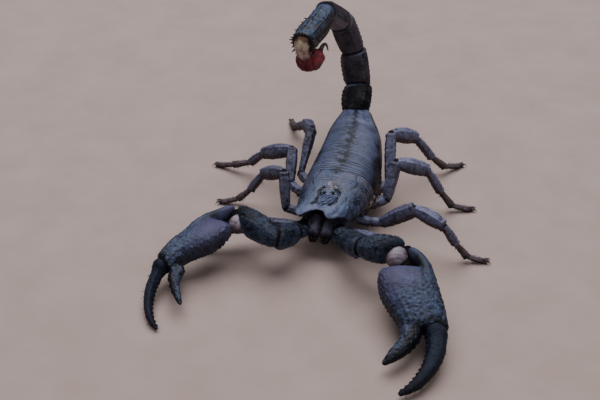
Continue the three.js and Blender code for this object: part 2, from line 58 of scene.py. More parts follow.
HEAD_TURN = 0.1  # slope of the front edge: the head looks to the animal's right
FRONT_HALF_WIDTH = 5.7
CROSS_WRINKLES = 2 * math.pi / 0.8  # radians per millimetre of the fine wrinkles across the back
CLAW_WIDTH = 1.5
COMB_TEETH = 17
FINE_GRAIN = 2600
MOTTLING = 420
HAND_VOXEL = 0.2
HAND_ROUNDS = 26

Skin = namedtuple("Skin", "points quads tris tone stain")


# ---------------------------------------------------------------- numbers
def unit(v):
    return v / np.linalg.norm(v, axis=-1, keepdims=True)


def ramp(x, low, high):
    t = np.clip((x - low) / (high - low), 0, 1)
    return t * t * (3 - 2 * t)


def bell(x, centre, width):
    return np.exp(-(((x - centre) / width) ** 2))


def curve(*stops):
    """A smooth function through (place, value) stops."""
    at = np.array([s[0] for s in stops], float)
    value = np.array([s[1] for s in stops], float)
    slope = np.gradient(value, at)

    def read(x):
        x = np.clip(x, at[0], at[-1])
        i = np.clip(np.searchsorted(at, x, side="right") - 1, 0, len(at) - 2)
        span = at[i + 1] - at[i]
        s = (x - at[i]) / span
        lead = s * (1 - s) ** 2 * slope[i] * span
        trail = s * s * (s - 1) * slope[i + 1] * span
        return value[i] + s * s * (3 - 2 * s) * (value[i + 1] - value[i]) + lead + trail

    return read


def hashed(cell, seed):
    """A repeatable number from 0 to 1 for each whole-number cell."""
    c = cell.astype(np.int64).astype(np.uint64)
    x, y, z = (c[..., k] * np.uint64(factor) for k, factor in enumerate((73856093, 19349663, 83492791)))
    n = x ^ y ^ z
    n = (n ^ np.uint64(seed * 40503 + 977)) & np.uint64(0xFFFFFFFF)
    n = ((n ^ (n >> np.uint64(15))) * np.uint64(2246822519)) & np.uint64(0xFFFFFFFF)
    n = ((n ^ (n >> np.uint64(13))) * np.uint64(3266489917)) & np.uint64(0xFFFFFFFF)
    return ((n ^ (n >> np.uint64(16))) & np.uint64(0xFFFFFF)).astype(float) / 0x1000000


def noise(p, scale, seed, stretch=1):
    """Smooth noise from -1 to 1, with features of about scale, in a space that may be stretched."""
    q = p * np.array(stretch) / scale
    cell = np.floor(q)
    f = q - cell
    f = f * f * (3 - 2 * f)
    total = np.zeros(p.shape[:-1])
    for corner in product((0, 1), repeat=3):
        weight = np.ones(p.shape[:-1])
        for k in range(3):
            weight = weight * (f[..., k] if corner[k] else 1 - f[..., k])
        total += weight * hashed(cell + np.array(corner), seed)
    return total * 2 - 1


def blotches(p, scale, seed, low, high, stretch=1):
    """Patches of noise: 0 where it is below low and 1 where it is above high."""
    return ramp(noise(p, scale, seed, stretch), low, high)


def within(x, a, b, c, d):
    """1 from b to c, falling to 0 at a and d."""
    return ramp(x, a, b) * (1 - ramp(x, c, d))


def cells(p, scale, seed, jitter=1.0):
    """Distances to the nearest and the second nearest of scattered points, in cell sizes."""
    q = p / scale
    cell = np.floor(q)
    near = np.full(p.shape[:-1], 9.0)
    second = np.full(p.shape[:-1], 9.0)
    for offset in product((-1, 0, 1), repeat=3):
        c = cell + np.array(offset)
        site = c + 0.5 + jitter * (np.stack([hashed(c, seed + k) for k in range(3)], -1) - 0.5)
        d = np.linalg.norm(q - site, axis=-1)
        second = np.minimum(second, np.maximum(near, d))
        near = np.minimum(near, d)
    return near, second


def granules(p, spacing, seed, size=0.5):
    """Rounded grains about spacing apart."""
    return np.clip(1 - (cells(p, spacing, seed)[0] / size) ** 2, 0, 1)


def pebbles(p, spacing, seed):
    """Close-set low cells with furrows between them."""
    near, second = cells(p, spacing, seed, 0.7)
    return ramp(second - near, 0.0, 0.45)


def teeth(s, pitch):
    """A row of rounded points along a keel."""
    return (1 - np.abs(2 * np.mod(s / pitch, 1) - 1)) ** 1.3


def keel(angle, at, width):
    """A ridge at an angle round a limb, in degrees."""
    off = (np.degrees(angle) - at + 180) % 360 - 180
    return np.exp(-((off / width) ** 2))


def from_line(x, y, *stops):
    """Distance from a line through a few stops on a flat map."""
    nearest = np.full(np.broadcast(x, y).shape, 99.0)
    for (ax, ay), (bx, by) in zip(stops, stops[1:]):
        t = np.clip(((x - ax) * (bx - ax) + (y - ay) * (by - ay)) / ((bx - ax) ** 2 + (by - ay) ** 2), 0, 1)
        nearest = np.minimum(nearest, np.hypot(x - ax - t * (bx - ax), y - ay - t * (by - ay)))
    return nearest


def squared(v, squareness):
    """A sine or cosine bent so that a ring of them is squarer than an ellipse."""
    return np.sign(v) * np.abs(v) ** (2 / squareness)


# ---------------------------------------------------------------- reading the solids
def read_out(data, key, width, kind=np.float32):
    values = np.empty(len(data) * width, kind)
    data.foreach_get(key, values)
    return values.reshape(-1, width)


def triangles(node):
    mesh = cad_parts[node].data
    mesh.calc_loop_triangles()
    corners = read_out(mesh.loop_triangles, "vertices", 3, np.int32)
    return read_out(mesh.vertices, "co", 3)[corners].astype(float) / MM


def box(node):
    """The lowest and the highest corner of a node."""
    return [np.array(corner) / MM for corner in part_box(node)]


def section(tris, origin, normal, reach=1e9):
    """Points where a plane cuts a node's surface, no further than reach from the origin."""
    d = (tris - origin) @ normal
    found = []
    for i, j in ((0, 1), (1, 2), (2, 0)):
        hit = (d[:, i] < 0) != (d[:, j] < 0)
        s = d[hit, i] / (d[hit, i] - d[hit, j])
        found.append(tris[hit, i] + s[:, None] * (tris[hit, j] - tris[hit, i]))
    points = np.concatenate(found)
    return points[np.linalg.norm(points - origin, axis=1) < reach]


def across(axis, up=UP):
    side = unit(np.cross(up, axis))
    return side, np.cross(axis, side)


def measure(tris, origin, axis, up=UP, reach=1e9):
    """Centre, half width and half height of a node where a plane cuts it."""
    side, back = across(axis, up)
    points = section(tris, origin, axis, reach) - origin
    if len(points) < 3:
        return None
    x, z = points @ side, points @ back
    centre = origin + side * (x.max() + x.min()) / 2 + back * (z.max() + z.min()) / 2
    return centre, np.ptp(x) / 2, np.ptp(z) / 2


def meeting(a, b):
    """Where two neighbouring nodes face each other across their gap, and the way from a to b."""
    sides = []
    for node in (a, b):
        tris = triangles(node)
        normal = np.cross(tris[:, 1] - tris[:, 0], tris[:, 2] - tris[:, 0])
        area = np.linalg.norm(normal, axis=1)
        kept = area > 1e-4
        sides.append((tris[kept].mean(1), normal[kept] / area[kept, None], area[kept]))
    (ca, na, aa), (cb, nb, ab) = sides
    step = cb[None] - ca[:, None]
    gap = (step * na[:, None]).sum(-1)
    against = na @ nb.T
    close = (gap > 0.08) & (gap < 0.65) & (np.linalg.norm(step, axis=-1) < 5)
    facing = close & (against < against[close].min() + 0.0004)
    i, j = np.unique(np.nonzero(facing)[0]), np.unique(np.nonzero(facing)[1])
    point = (np.average(ca[i], axis=0, weights=aa[i]) + np.average(cb[j], axis=0, weights=ab[j])) / 2
    return point, unit(np.average(na[i], axis=0, weights=aa[i]))


def heading_from(tris, start, inward, depth):
    """The way a limb runs on from one of its ends."""
    heading = inward
    for reach in (0.5, 0.8, 1.0, 1.0):
        found = measure(tris, start + heading * depth * reach, heading, reach=depth * 1.1)
        if found:
            heading = unit(found[0] - start)
    return heading


def knuckle(node, a, into_a, b, into_b, share, depths):
    """The joint inside a node of two segments: where their axes cross, or share of the way if in line."""
    tris = triangles(node)
    u = heading_from(tris, a, into_a, depths[0])
    v = heading_from(tris, b, into_b, depths[1])
    w = b - a
    c = u @ v
    bend = 1 - c * c
    trust = min(1.0, bend / 0.12)
    s = ((w @ u) - c * (w @ v)) / max(bend, 0.02)
    crossing = a + u * np.clip(s, 0.1 * np.linalg.norm(w), 0.95 * np.linalg.norm(w))
    return crossing * trust + (a + w * share) * (1 - trust)


def tip_of(node, root):
    """The middle of the end of a node that lies furthest from root."""
    points = triangles(node).reshape(-1, 3)
    end = points[np.argmax(np.linalg.norm(points - root, axis=1))]
    near = np.unique(np.round(points[np.linalg.norm(points - end, axis=1) < 0.9], 3), axis=0)
    return near.mean(0)


def walk(node, start, heading, up, step, reach):
    """Centres and half sizes along a curved limb, stepping from start until it ends."""
    tris = triangles(node)
    rows = []
    point = start
    while len(rows) < 200:
        found = measure(tris, point + heading * step, heading, up, reach)
        if not found:
            break
        heading = unit(unit(found[0] - point) * 0.6 + heading * 0.4)
        point = found[0]
        rows.append(np.concatenate([point, found[1:]]))
    return np.array(rows)


# ---------------------------------------------------------------- making meshes
def grid_quads(n, m, closed):
    i, j = np.meshgrid(np.arange(n - 1), np.arange(m if closed else m - 1), indexing="ij")
    k = (j + 1) % m
    return np.stack([i * m + j, (i + 1) * m + j, (i + 1) * m + k, i * m + k], -1).reshape(-1, 4)


def field(value, grid):
    return np.broadcast_to(value, grid.shape[:2]).ravel()


def grid_normals(grid, closed=True):
    if closed:
        around = np.roll(grid, -1, 1) - np.roll(grid, 1, 1)
    else:
        around = np.gradient(grid, axis=1)
    normal = np.cross(np.gradient(grid, axis=0), around)
    return normal / (np.linalg.norm(normal, axis=-1, keepdims=True) + 1e-12)


def closed_tube(grid, tone=0.5, stain=0.0):
    """A skin of rings, closed by a point at each end."""
    n, m, _ = grid.shape
    points = np.concatenate([grid.reshape(-1, 3), grid[0].mean(0)[None], grid[-1].mean(0)[None]])
    j = np.arange(m)
    k = (j + 1) % m
    last = (n - 1) * m
    start = np.stack([np.full(m, n * m), j, k], -1)
    end = np.stack([np.full(m, n * m + 1), last + k, last + j], -1)
    values = []
    for value in (field(tone, grid), field(stain, grid)):
        values.append(np.concatenate([value, [value[:m].mean(), value[-m:].mean()]]))
    return outward(Skin(points, grid_quads(n, m, True), np.concatenate([start, end]), *values))


def closed_plate(top, under, tone, stain):
    """A skin between two open grids of the same size, joined round their borders."""
    n, m, _ = top.shape
    size = n * m
    points = np.concatenate([top.reshape(-1, 3), under.reshape(-1, 3)])
    quads = grid_quads(n, m, False)
    faces = [quads, quads[:, ::-1] + size]
    ring = np.concatenate([
        np.arange(m), (np.arange(1, n)) * m + m - 1,
        (n - 1) * m + np.arange(m - 2, -1, -1), np.arange(n - 2, 0, -1) * m,
    ])
    after = np.roll(ring, -1)
    faces.append(np.stack([ring, after, after + size, ring + size], -1))
    tones = np.concatenate([field(tone, top)] * 2)
    stains = np.concatenate([field(stain, top)] * 2)
    return outward(Skin(points, np.concatenate(faces), np.empty((0, 3), int), tones, stains))


def outward(skin):
    """The skin with its faces turned out."""
    corners = np.concatenate([skin.quads[:, (0, 1, 2)], skin.quads[:, (0, 2, 3)], skin.tris])
    a, b, c = np.moveaxis((skin.points - skin.points.mean(0))[corners], 1, 0)
    if (a * np.cross(b, c)).sum() < 0:
        skin = skin._replace(quads=skin.quads[:, ::-1], tris=skin.tris[:, ::-1])
    return skin


def mesh_of(name, skins):
    points = np.concatenate([s.points for s in skins]) * MM
    loops, starts, offset, used = [], [], 0, 0
    for s in skins:
        for faces in (s.quads, s.tris):
            if len(faces):
                loops.append((faces + offset).ravel())
                starts.append(used + np.arange(len(faces)) * faces.shape[1])
                used += faces.size
        offset += len(s.points)
    loops = np.concatenate(loops).astype(np.int32)
    starts = np.concatenate(starts).astype(np.int32)
    mesh = bpy.data.meshes.new(name)
    mesh.vertices.add(len(points))
    mesh.vertices.foreach_set("co", points.astype(np.float32).ravel())
    mesh.loops.add(len(loops))
    mesh.loops.foreach_set("vertex_index", loops)
    mesh.polygons.add(len(starts))
    mesh.polygons.foreach_set("loop_start", starts)
    mesh.update(calc_edges=True)
    mesh.shade_smooth()
    for label in ("tone", "stain"):
        values = np.concatenate([getattr(s, label) for s in skins]).astype(np.float32)
        mesh.attributes.new(label, "FLOAT", "POINT").data.foreach_set("value", values)
    return mesh


def shown(name, data):
    obj = bpy.data.objects.new(name, data)
    bpy.context.scene.collection.objects.link(obj)
    return obj


def piece(name, skins, look):
    """One visible piece. It stands for the node of its own name, where there is one."""
    obj = shown(name, mesh_of(name, skins))
    obj.data.materials.append(LOOKS[look])
    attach(obj, "root")
    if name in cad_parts:
        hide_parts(name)
    return obj


def fused(skins, voxel):
    """One continuous skin round overlapping ones."""
    mesh = mesh_of("fusing", skins)
    obj = shown("fusing", mesh)
    remesh = obj.modifiers.new("fuse", "REMESH")
    remesh.mode = "VOXEL"
    remesh.voxel_size = voxel * MM
    made = obj.evaluated_get(bpy.context.evaluated_depsgraph_get()).to_mesh()
    points = read_out(made.vertices, "co", 3).astype(float) / MM
    quads = read_out(made.loops, "vertex_index", 1, np.int32).reshape(-1, 4)
    bpy.data.objects.remove(obj)
    bpy.data.meshes.remove(mesh)
    return points, quads


def relaxed(points, quads, weight, rounds):
    """Points drawn toward the mean of their neighbours, rounds times, as far as weight lets each."""
    a, b = quads.ravel(), np.roll(quads, -1, 1).ravel()
    count = np.bincount(a, minlength=len(points)) + np.bincount(b, minlength=len(points))
    for _ in range(rounds):
        mean = np.stack([
            (np.bincount(a, points[b, k], len(points)) + np.bincount(b, points[a, k], len(points))) / count
            for k in range(3)
        ], -1)
        points = points + (mean - points) * weight[:, None]
    return points


def vertex_normals(points, quads):
    face = np.cross(points[quads[:, 2]] - points[quads[:, 0]], points[quads[:, 3]] - points[quads[:, 1]])
    total = np.stack([
        sum(np.bincount(quads[:, c], face[:, k], len(points)) for c in range(4)) for k in range(3)
    ], -1)
    return total / (np.linalg.norm(total, axis=1, keepdims=True) + 1e-12)


def stations(length, count, bevel):
    """Places along a limb, with how far each ring is drawn in to round the two ends."""
    turn = np.linspace(0, math.pi / 2, 6)[:-1]
    lead, drop = 1 - np.cos(turn), 1 - np.sin(turn)
    body = np.linspace(bevel[0], length - bevel[1], count)
    s = np.concatenate([bevel[0] * lead, body, (length - bevel[1] * lead)[::-1]])
    inset = np.concatenate([bevel[0] * drop, np.zeros(count), (bevel[1] * drop)[::-1]])
    return s, inset


def ring_offsets(half_w, half_h, around, squareness):
    angle = np.linspace(0, 2 * math.pi, around, endpoint=False)
    x, z = squared(np.sin(angle), squareness), squared(np.cos(angle), squareness)
    return angle, np.outer(half_w, x), np.outer(half_h, z)


def limb(a, b, up, half_w, half_h, relief, count, around, bevel, squareness=2.3, planes=(None, None),
         bow=None):
    """A straight segment from a to b. planes holds the way on from each end, where it is mitred."""
    a, b = np.asarray(a, float), np.asarray(b, float)
    length = np.linalg.norm(b - a)
    axis = (b - a) / length
    side, back = across(axis, up)
    s, inset = stations(length, count, bevel)
    t = s / length
    w, h = half_w(t) + 0 * t, half_h(t) + 0 * t
    angle, x, z = ring_offsets(w, h, around, squareness)
    shrink = np.clip(1 - inset / np.minimum(w, h), 0.05, 1)[:, None]
    centre = a + np.outer(s, axis)
    if bow is not None:
        centre = centre + bow(t)
    grid = centre[:, None] + (x * shrink)[..., None] * side + (z * shrink)[..., None] * back
    for end, normal in enumerate(planes):
        if normal is None:
            continue
        n = unit(normal + axis)
        near = 1 - ramp(np.abs(s - (length if end else 0)), 0, min(0.5 * length, 3.2 * half_w(0.5)))
        slip = -((grid - centre[:, None]) @ n) / (axis @ n)
        grid = grid + (slip * near[:, None])[..., None] * axis
    fade = np.ones((len(s), 1))
    fade[:3, 0] = [0, 0.3, 0.7]
    fade[-3:, 0] = [0.7, 0.3, 0]
    height, tone, stain = relief(t[:, None], angle[None], grid)
    grid = grid + grid_normals(grid) * (height * fade)[..., None]
    return closed_tube(grid, tone, stain)


def times(size, shape):
    """A half size along a limb: shape is a share of it at each place."""
    return lambda t: size * shape(t)


def ball(centre, radii, axis=UP, up=REARWARD, n=14, m=20, tone=0.5, stain=0.0, relief=None):
    """A rounded lump. radii are across, along up and along axis."""
    axis = unit(np.asarray(axis, float))
    side, back = across(axis, up)
    polar = np.linspace(0, math.pi, n + 2)[1:-1]
    angle = np.linspace(0, 2 * math.pi, m, endpoint=False)
    ring = np.sin(polar)[:, None]
    grid = (
        np.asarray(centre)
        + (ring * np.sin(angle) * radii[0])[..., None] * side
        + (ring * np.cos(angle) * radii[1])[..., None] * back
        - (np.cos(polar)[:, None] * np.ones(m) * radii[2])[..., None] * axis
    )
    if relief:
        height, tone, stain = relief(grid)
        grid = grid + grid_normals(grid) * height[..., None]
    return closed_tube(grid, tone, stain)


def spine(root, tip, radius, bend=None, sides=6, rings=4, tone=0.3, stain=0.0):
    """A pointed thorn or claw, bent sideways by the vector bend in its middle."""
    root, tip = np.asarray(root, float), np.asarray(tip, float)
    axis = unit(tip - root)
    aside = np.cross(axis, UP)
    side = unit(aside) if np.linalg.norm(aside) > 0.1 else np.array([1.0, 0, 0])
    back = np.cross(axis, side)
    t = np.linspace(0, 1, rings + 1)[:-1]
    angle = np.linspace(0, 2 * math.pi, sides, endpoint=False)
    centre = root + np.outer(t, tip - root)
    if bend is not None:
        centre = centre + np.outer(4 * t * (1 - t), bend)
    size = radius * (1 - t ** 1.4) + 0.02
    grid = centre[:, None] + size[:, None, None] * (
        np.sin(angle)[None, :, None] * side + np.cos(angle)[None, :, None] * back
    )
    skin = closed_tube(grid, tone, stain)
    skin.points[-1] = tip
    return skin


# ---------------------------------------------------------------- materials
def link(tree, a, b):
    tree.links.new(a, b)


def maths(tree, operation, a, b, clamp=False):
    node = tree.nodes.new("ShaderNodeMath")
    node.operation = operation
    node.use_clamp = clamp
    for socket, value in zip(node.inputs, (a, b)):
        if isinstance(value, (int, float)):
            socket.default_value = value
        else:
            link(tree, value, socket)
    return node.outputs[0]


def grain(tree, where, scale, detail=0, kind="ShaderNodeTexNoise"):
    node = tree.nodes.new(kind)
    node.inputs["Scale"].default_value = scale
    if kind == "ShaderNodeTexNoise":
        node.inputs["Detail"].default_value = detail
        node.inputs["Roughness"].default_value = 0.6
        out = node.outputs["Fac"]
    else:
        out = node.outputs["Distance"]
    link(tree, where, node.inputs["Vector"])
    return out


def blend(tree, factor, a, b):
    node = tree.nodes.new("ShaderNodeMix")
    node.data_type = "RGBA"
    link(tree, factor, node.inputs[0])
    for socket, value in ((node.inputs[6], a), (node.inputs[7], b)):
        if isinstance(value, tuple):
            socket.default_value = (*value, 1)
        else:
            link(tree, value, socket)
    return node.outputs[2]


def linear(*srgb):
    return tuple((c / 255 / 12.92) if c <= 10 else ((c / 255 + 0.055) / 1.055) ** 2.4 for c in srgb)


LOOKS = {}


def new_look(name):
    LOOKS[name] = bpy.data.materials.new(name)
    LOOKS[name].use_nodes = True
    tree = LOOKS[name].node_tree
    return tree, tree.nodes["Principled BSDF"]


def attribute(tree, name):
    node = tree.nodes.new("ShaderNodeAttribute")
    node.attribute_name = name
    return node.outputs["Fac"]


def shell(name, dark, light, stain, gloss=(0.34, 0.55), bump=0.35, sheen=0.0, through=0.0, shine=0.5,
          shaded=False):
    """A cuticle: two shades mixed by relief and mottling, a second colour for stains and for some painted
    light and shade, and a fine grain.
    """
    tree, shader = new_look(name)
    where = tree.nodes.new("ShaderNodeTexCoord").outputs["Object"]
    tone, mark = attribute(tree, "tone"), attribute(tree, "stain")
    broad = grain(tree, where, MOTTLING, 5)
    close = grain(tree, where, FINE_GRAIN, 3)
    pits = grain(tree, where, FINE_GRAIN * 0.55, kind="ShaderNodeTexVoronoi")
    swing = maths(tree, "ADD", maths(tree, "MULTIPLY", broad, 0.7), maths(tree, "MULTIPLY", close, 0.35))
    level = maths(tree, "ADD", maths(tree, "SUBTRACT", swing, 0.53), tone, clamp=True)
    colour = blend(tree, level, linear(*dark), linear(*light))
    edge = maths(tree, "MULTIPLY", mark, maths(tree, "ADD", broad, 0.5), clamp=True)
    marked = linear(*stain)
    if shaded:
        marked = blend(tree, level, linear(*dark), linear(*(c * 1.5 for c in stain)))
    link(tree, blend(tree, edge, colour, marked), shader.inputs["Base Color"])
    spread = gloss[1] - gloss[0]
    rough = maths(tree, "ADD", maths(tree, "MULTIPLY", close, spread), gloss[0], clamp=True)
    link(tree, rough, shader.inputs["Roughness"])
    raised = tree.nodes.new("ShaderNodeBump")
    raised.inputs["Strength"].default_value = bump
    raised.inputs["Distance"].default_value = 0.0001
    link(tree, maths(tree, "ADD", close, maths(tree, "MULTIPLY", pits, 0.6)), raised.inputs["Height"])
    link(tree, raised.outputs["Normal"], shader.inputs["Normal"])
    shader.inputs["Specular IOR Level"].default_value = shine
    shader.inputs["Coat Weight"].default_value = sheen
    shader.inputs["Coat Roughness"].default_value = 0.25
    if through:
        shader.inputs["Subsurface Weight"].default_value = through
        shader.inputs["Subsurface Radius"].default_value = (0.0012, 0.0006, 0.0004)


shell("carapace", (13, 14, 24), (90, 102, 134), (150, 132, 142), (0.38, 0.56), shine=0.42)
shell("tergite", (13, 14, 22), (94, 100, 131), (8, 10, 22), (0.38, 0.58), shine=0.42)
# The tail's second colour is the pale blue of the painted highlights on its joint rims.
shell("tail", (6, 4, 7), (104, 94, 104), (78, 90, 108), (0.54, 0.7), shine=0.14)
shell("tail_end", (8, 12, 24), (62, 80, 112), (6, 6, 10), (0.4, 0.56), shine=0.4)
shell("leg", (12, 12, 19), (110, 110, 138), (48, 28, 30), (0.42, 0.6), shine=0.35)
shell("foot", (28, 20, 24), (98, 82, 88), (20, 10, 10), (0.45, 0.62), shine=0.35)
shell("arm", (6, 8, 14), (78, 89, 116), (4, 4, 9), (0.5, 0.68), shine=0.22)
shell("hand", (9, 9, 17), (82, 77, 110), (50, 58, 77), (0.46, 0.62), shine=0.3, shaded=True)
shell("finger", (3, 4, 7), (36, 42, 58), (18, 10, 16), (0.54, 0.7), shine=0.14)
# The jaw's second colour darkens the jaw undersides as painted shade and the finger ends as their own colour.
shell("jaw", (10, 9, 13), (80, 76, 92), (16, 9, 11), (0.56, 0.72), shine=0.12)
shell("skin", (12, 10, 12), (48, 40, 40), (112, 92, 72), (0.7, 0.86), bump=0.5, shine=0.08)
shell("side_skin", (16, 12, 12), (74, 60, 56), (150, 128, 104), (0.5, 0.7), bump=0.5, shine=0.3)
shell("pale_skin", (56, 50, 58), (158, 142, 152), (92, 62, 70), (0.46, 0.62), bump=0.4, through=0.15)
shell("cream_skin", (78, 50, 44), (196, 172, 160), (150, 144, 84), (0.64, 0.8), bump=0.4, through=0.05,
      shine=0.05)
shell("belly", (14, 12, 15), (64, 56, 60), (44, 30, 28), (0.34, 0.52))
shell("comb", (70, 52, 38), (160, 132, 98), (92, 66, 44), (0.45, 0.6))
shell("venom", (34, 6, 10), (138, 44, 52), (20, 6, 9), (0.36, 0.52), through=0.05, shine=0.35)
shell("sting", (5, 3, 4), (28, 16, 16), (50, 16, 14), (0.2, 0.34), bump=0.15, sheen=0.2)
shell("eye", (3, 3, 4), (10, 10, 13), (14, 10, 8), (0.08, 0.14), bump=0.05, sheen=0.3)
shell("hair", (30, 18, 14), (86, 54, 40), (24, 12, 10), (0.4, 0.6), bump=0.1)


# ---------------------------------------------------------------- trunk
TERGITES = [f"tergite_{k}" for k in range(1, 8)]


def trunk():
    """Curves along the body: midline, half width, top and rim height of the back plates."""
    rows = []
    for node in ["carapace"] + TERGITES:
        low, high = box(node)
        first, last = low[1] + (4.2 if node == "carapace" else 0.25), high[1] - 0.25
        tris = triangles(node)
        for y in np.linspace(first, last, max(2, int((last - first) / 2))):
            points = section(tris, REARWARD * y, REARWARD)
            x, z = points[:, 0], points[:, 2]
            rows.append([y, (x.max() + x.min()) / 2, np.ptp(x) / 2, z.max(), z.min() + PLATE_LIP])
    rows = np.array(rows)
    # Ahead of the notch the plate's own curves are run on to its front edge.
    front = box("carapace")[0][1] - 0.07
    near = rows[:3]
    midline, top = np.polyfit(near[:, 0], near[:, 1], 2), np.polyfit(near[:, 0], near[:, 3], 1)
    lead = [
        [y, np.polyval(midline, y), half, np.polyval(top, y), near[0, 4]]
        for y, half in (
            (front, FRONT_HALF_WIDTH), (front + 1.8, FRONT_HALF_WIDTH * 0.6 + near[0, 2] * 0.4)
        )
    ]
    rows = np.vstack([lead, rows])
    return [curve(*rows[:, (0, k)]) for k in (1, 2, 3, 4)], front


(spine_x, half_width, top_height, rim_height), FRONT = trunk()
PLATE_ENDS = [box(node)[1][1] + 0.15 for node in ["carapace"] + TERGITES]
EYES = [sum(box(f"median_eye_{side}")) / 2 for side in SIDES]
EYE_SIZE = np.ptp([corner[0] for corner in box("median_eye_left")]) / 2
EYE_MID = (EYES[0] + EYES[1]) / 2
EYE_GAP = (EYES[0][0] - EYES[1][0]) / 2


def dome(y, angle):
    """Points on the arched back at each y and angle from its ridge."""
    rim = rim_height(y)
    x = spine_x(y) + half_width(y) * squared(np.sin(angle), PLATE_SQUARENESS)
    z = rim + (top_height(y) - rim) * squared(np.cos(angle), PLATE_SQUARENESS)
    return np.stack([x, y, z], -1)


def arched(held, angle, y):
    """A grid over the back with its normals up, and how far each point lies from the midline, in millimetres
    and as a share of the half width. The arch is read at held and the point stands at y."""
    grid = dome(held, angle + 0 * held)
    grid[..., 1] = y
    normal = grid_normals(grid, False)
    x = grid[..., 0] - spine_x(held)
    return grid, np.where(normal[..., 2:] < 0, -normal, normal), x, np.abs(x) / half_width(held)


def profile(node, first, last, count, reach=1e9):
    """Curves along a trunk node: floor, roof and half width of what lies within reach of the midline."""
    tris = triangles(node)
    stops = []
    for y in np.linspace(first, last, count):
        points = section(tris, REARWARD * y, REARWARD)
        points = points[np.abs(points[:, 0] - spine_x(y)) < reach]
        if len(points):
            stops.append([y, points[:, 2].min(), points[:, 2].max(), np.ptp(points[:, 0]) / 2])
    stops = np.array(stops)
    return [curve(*stops[:, (0, k)]) for k in (1, 2, 3)]


def barrel(y, x, middle, z):
    """A grid of rings along the trunk."""
    return np.stack([spine_x(y)[:, None] + x, np.broadcast_to(y[:, None], x.shape), middle[:, None] + z], -1)


# Lines of the two bracket-shaped furrows beside the eyes: outward and rearward from the point between them.
EYE_BRACKETS = (
    ((1.5, 1.7), (2.9, 0.8), (3.1, -0.3), (2.7, -1.3), (3.1, -2.1), (2.3, -3.0), (1.3, -3.3)),
    ((-2.5, 2.0), (-3.1, 0.3), (-2.3, -0.6), (-2.6, -1.9), (-2.2, -2.9), (-3.1, -3.4)),
)


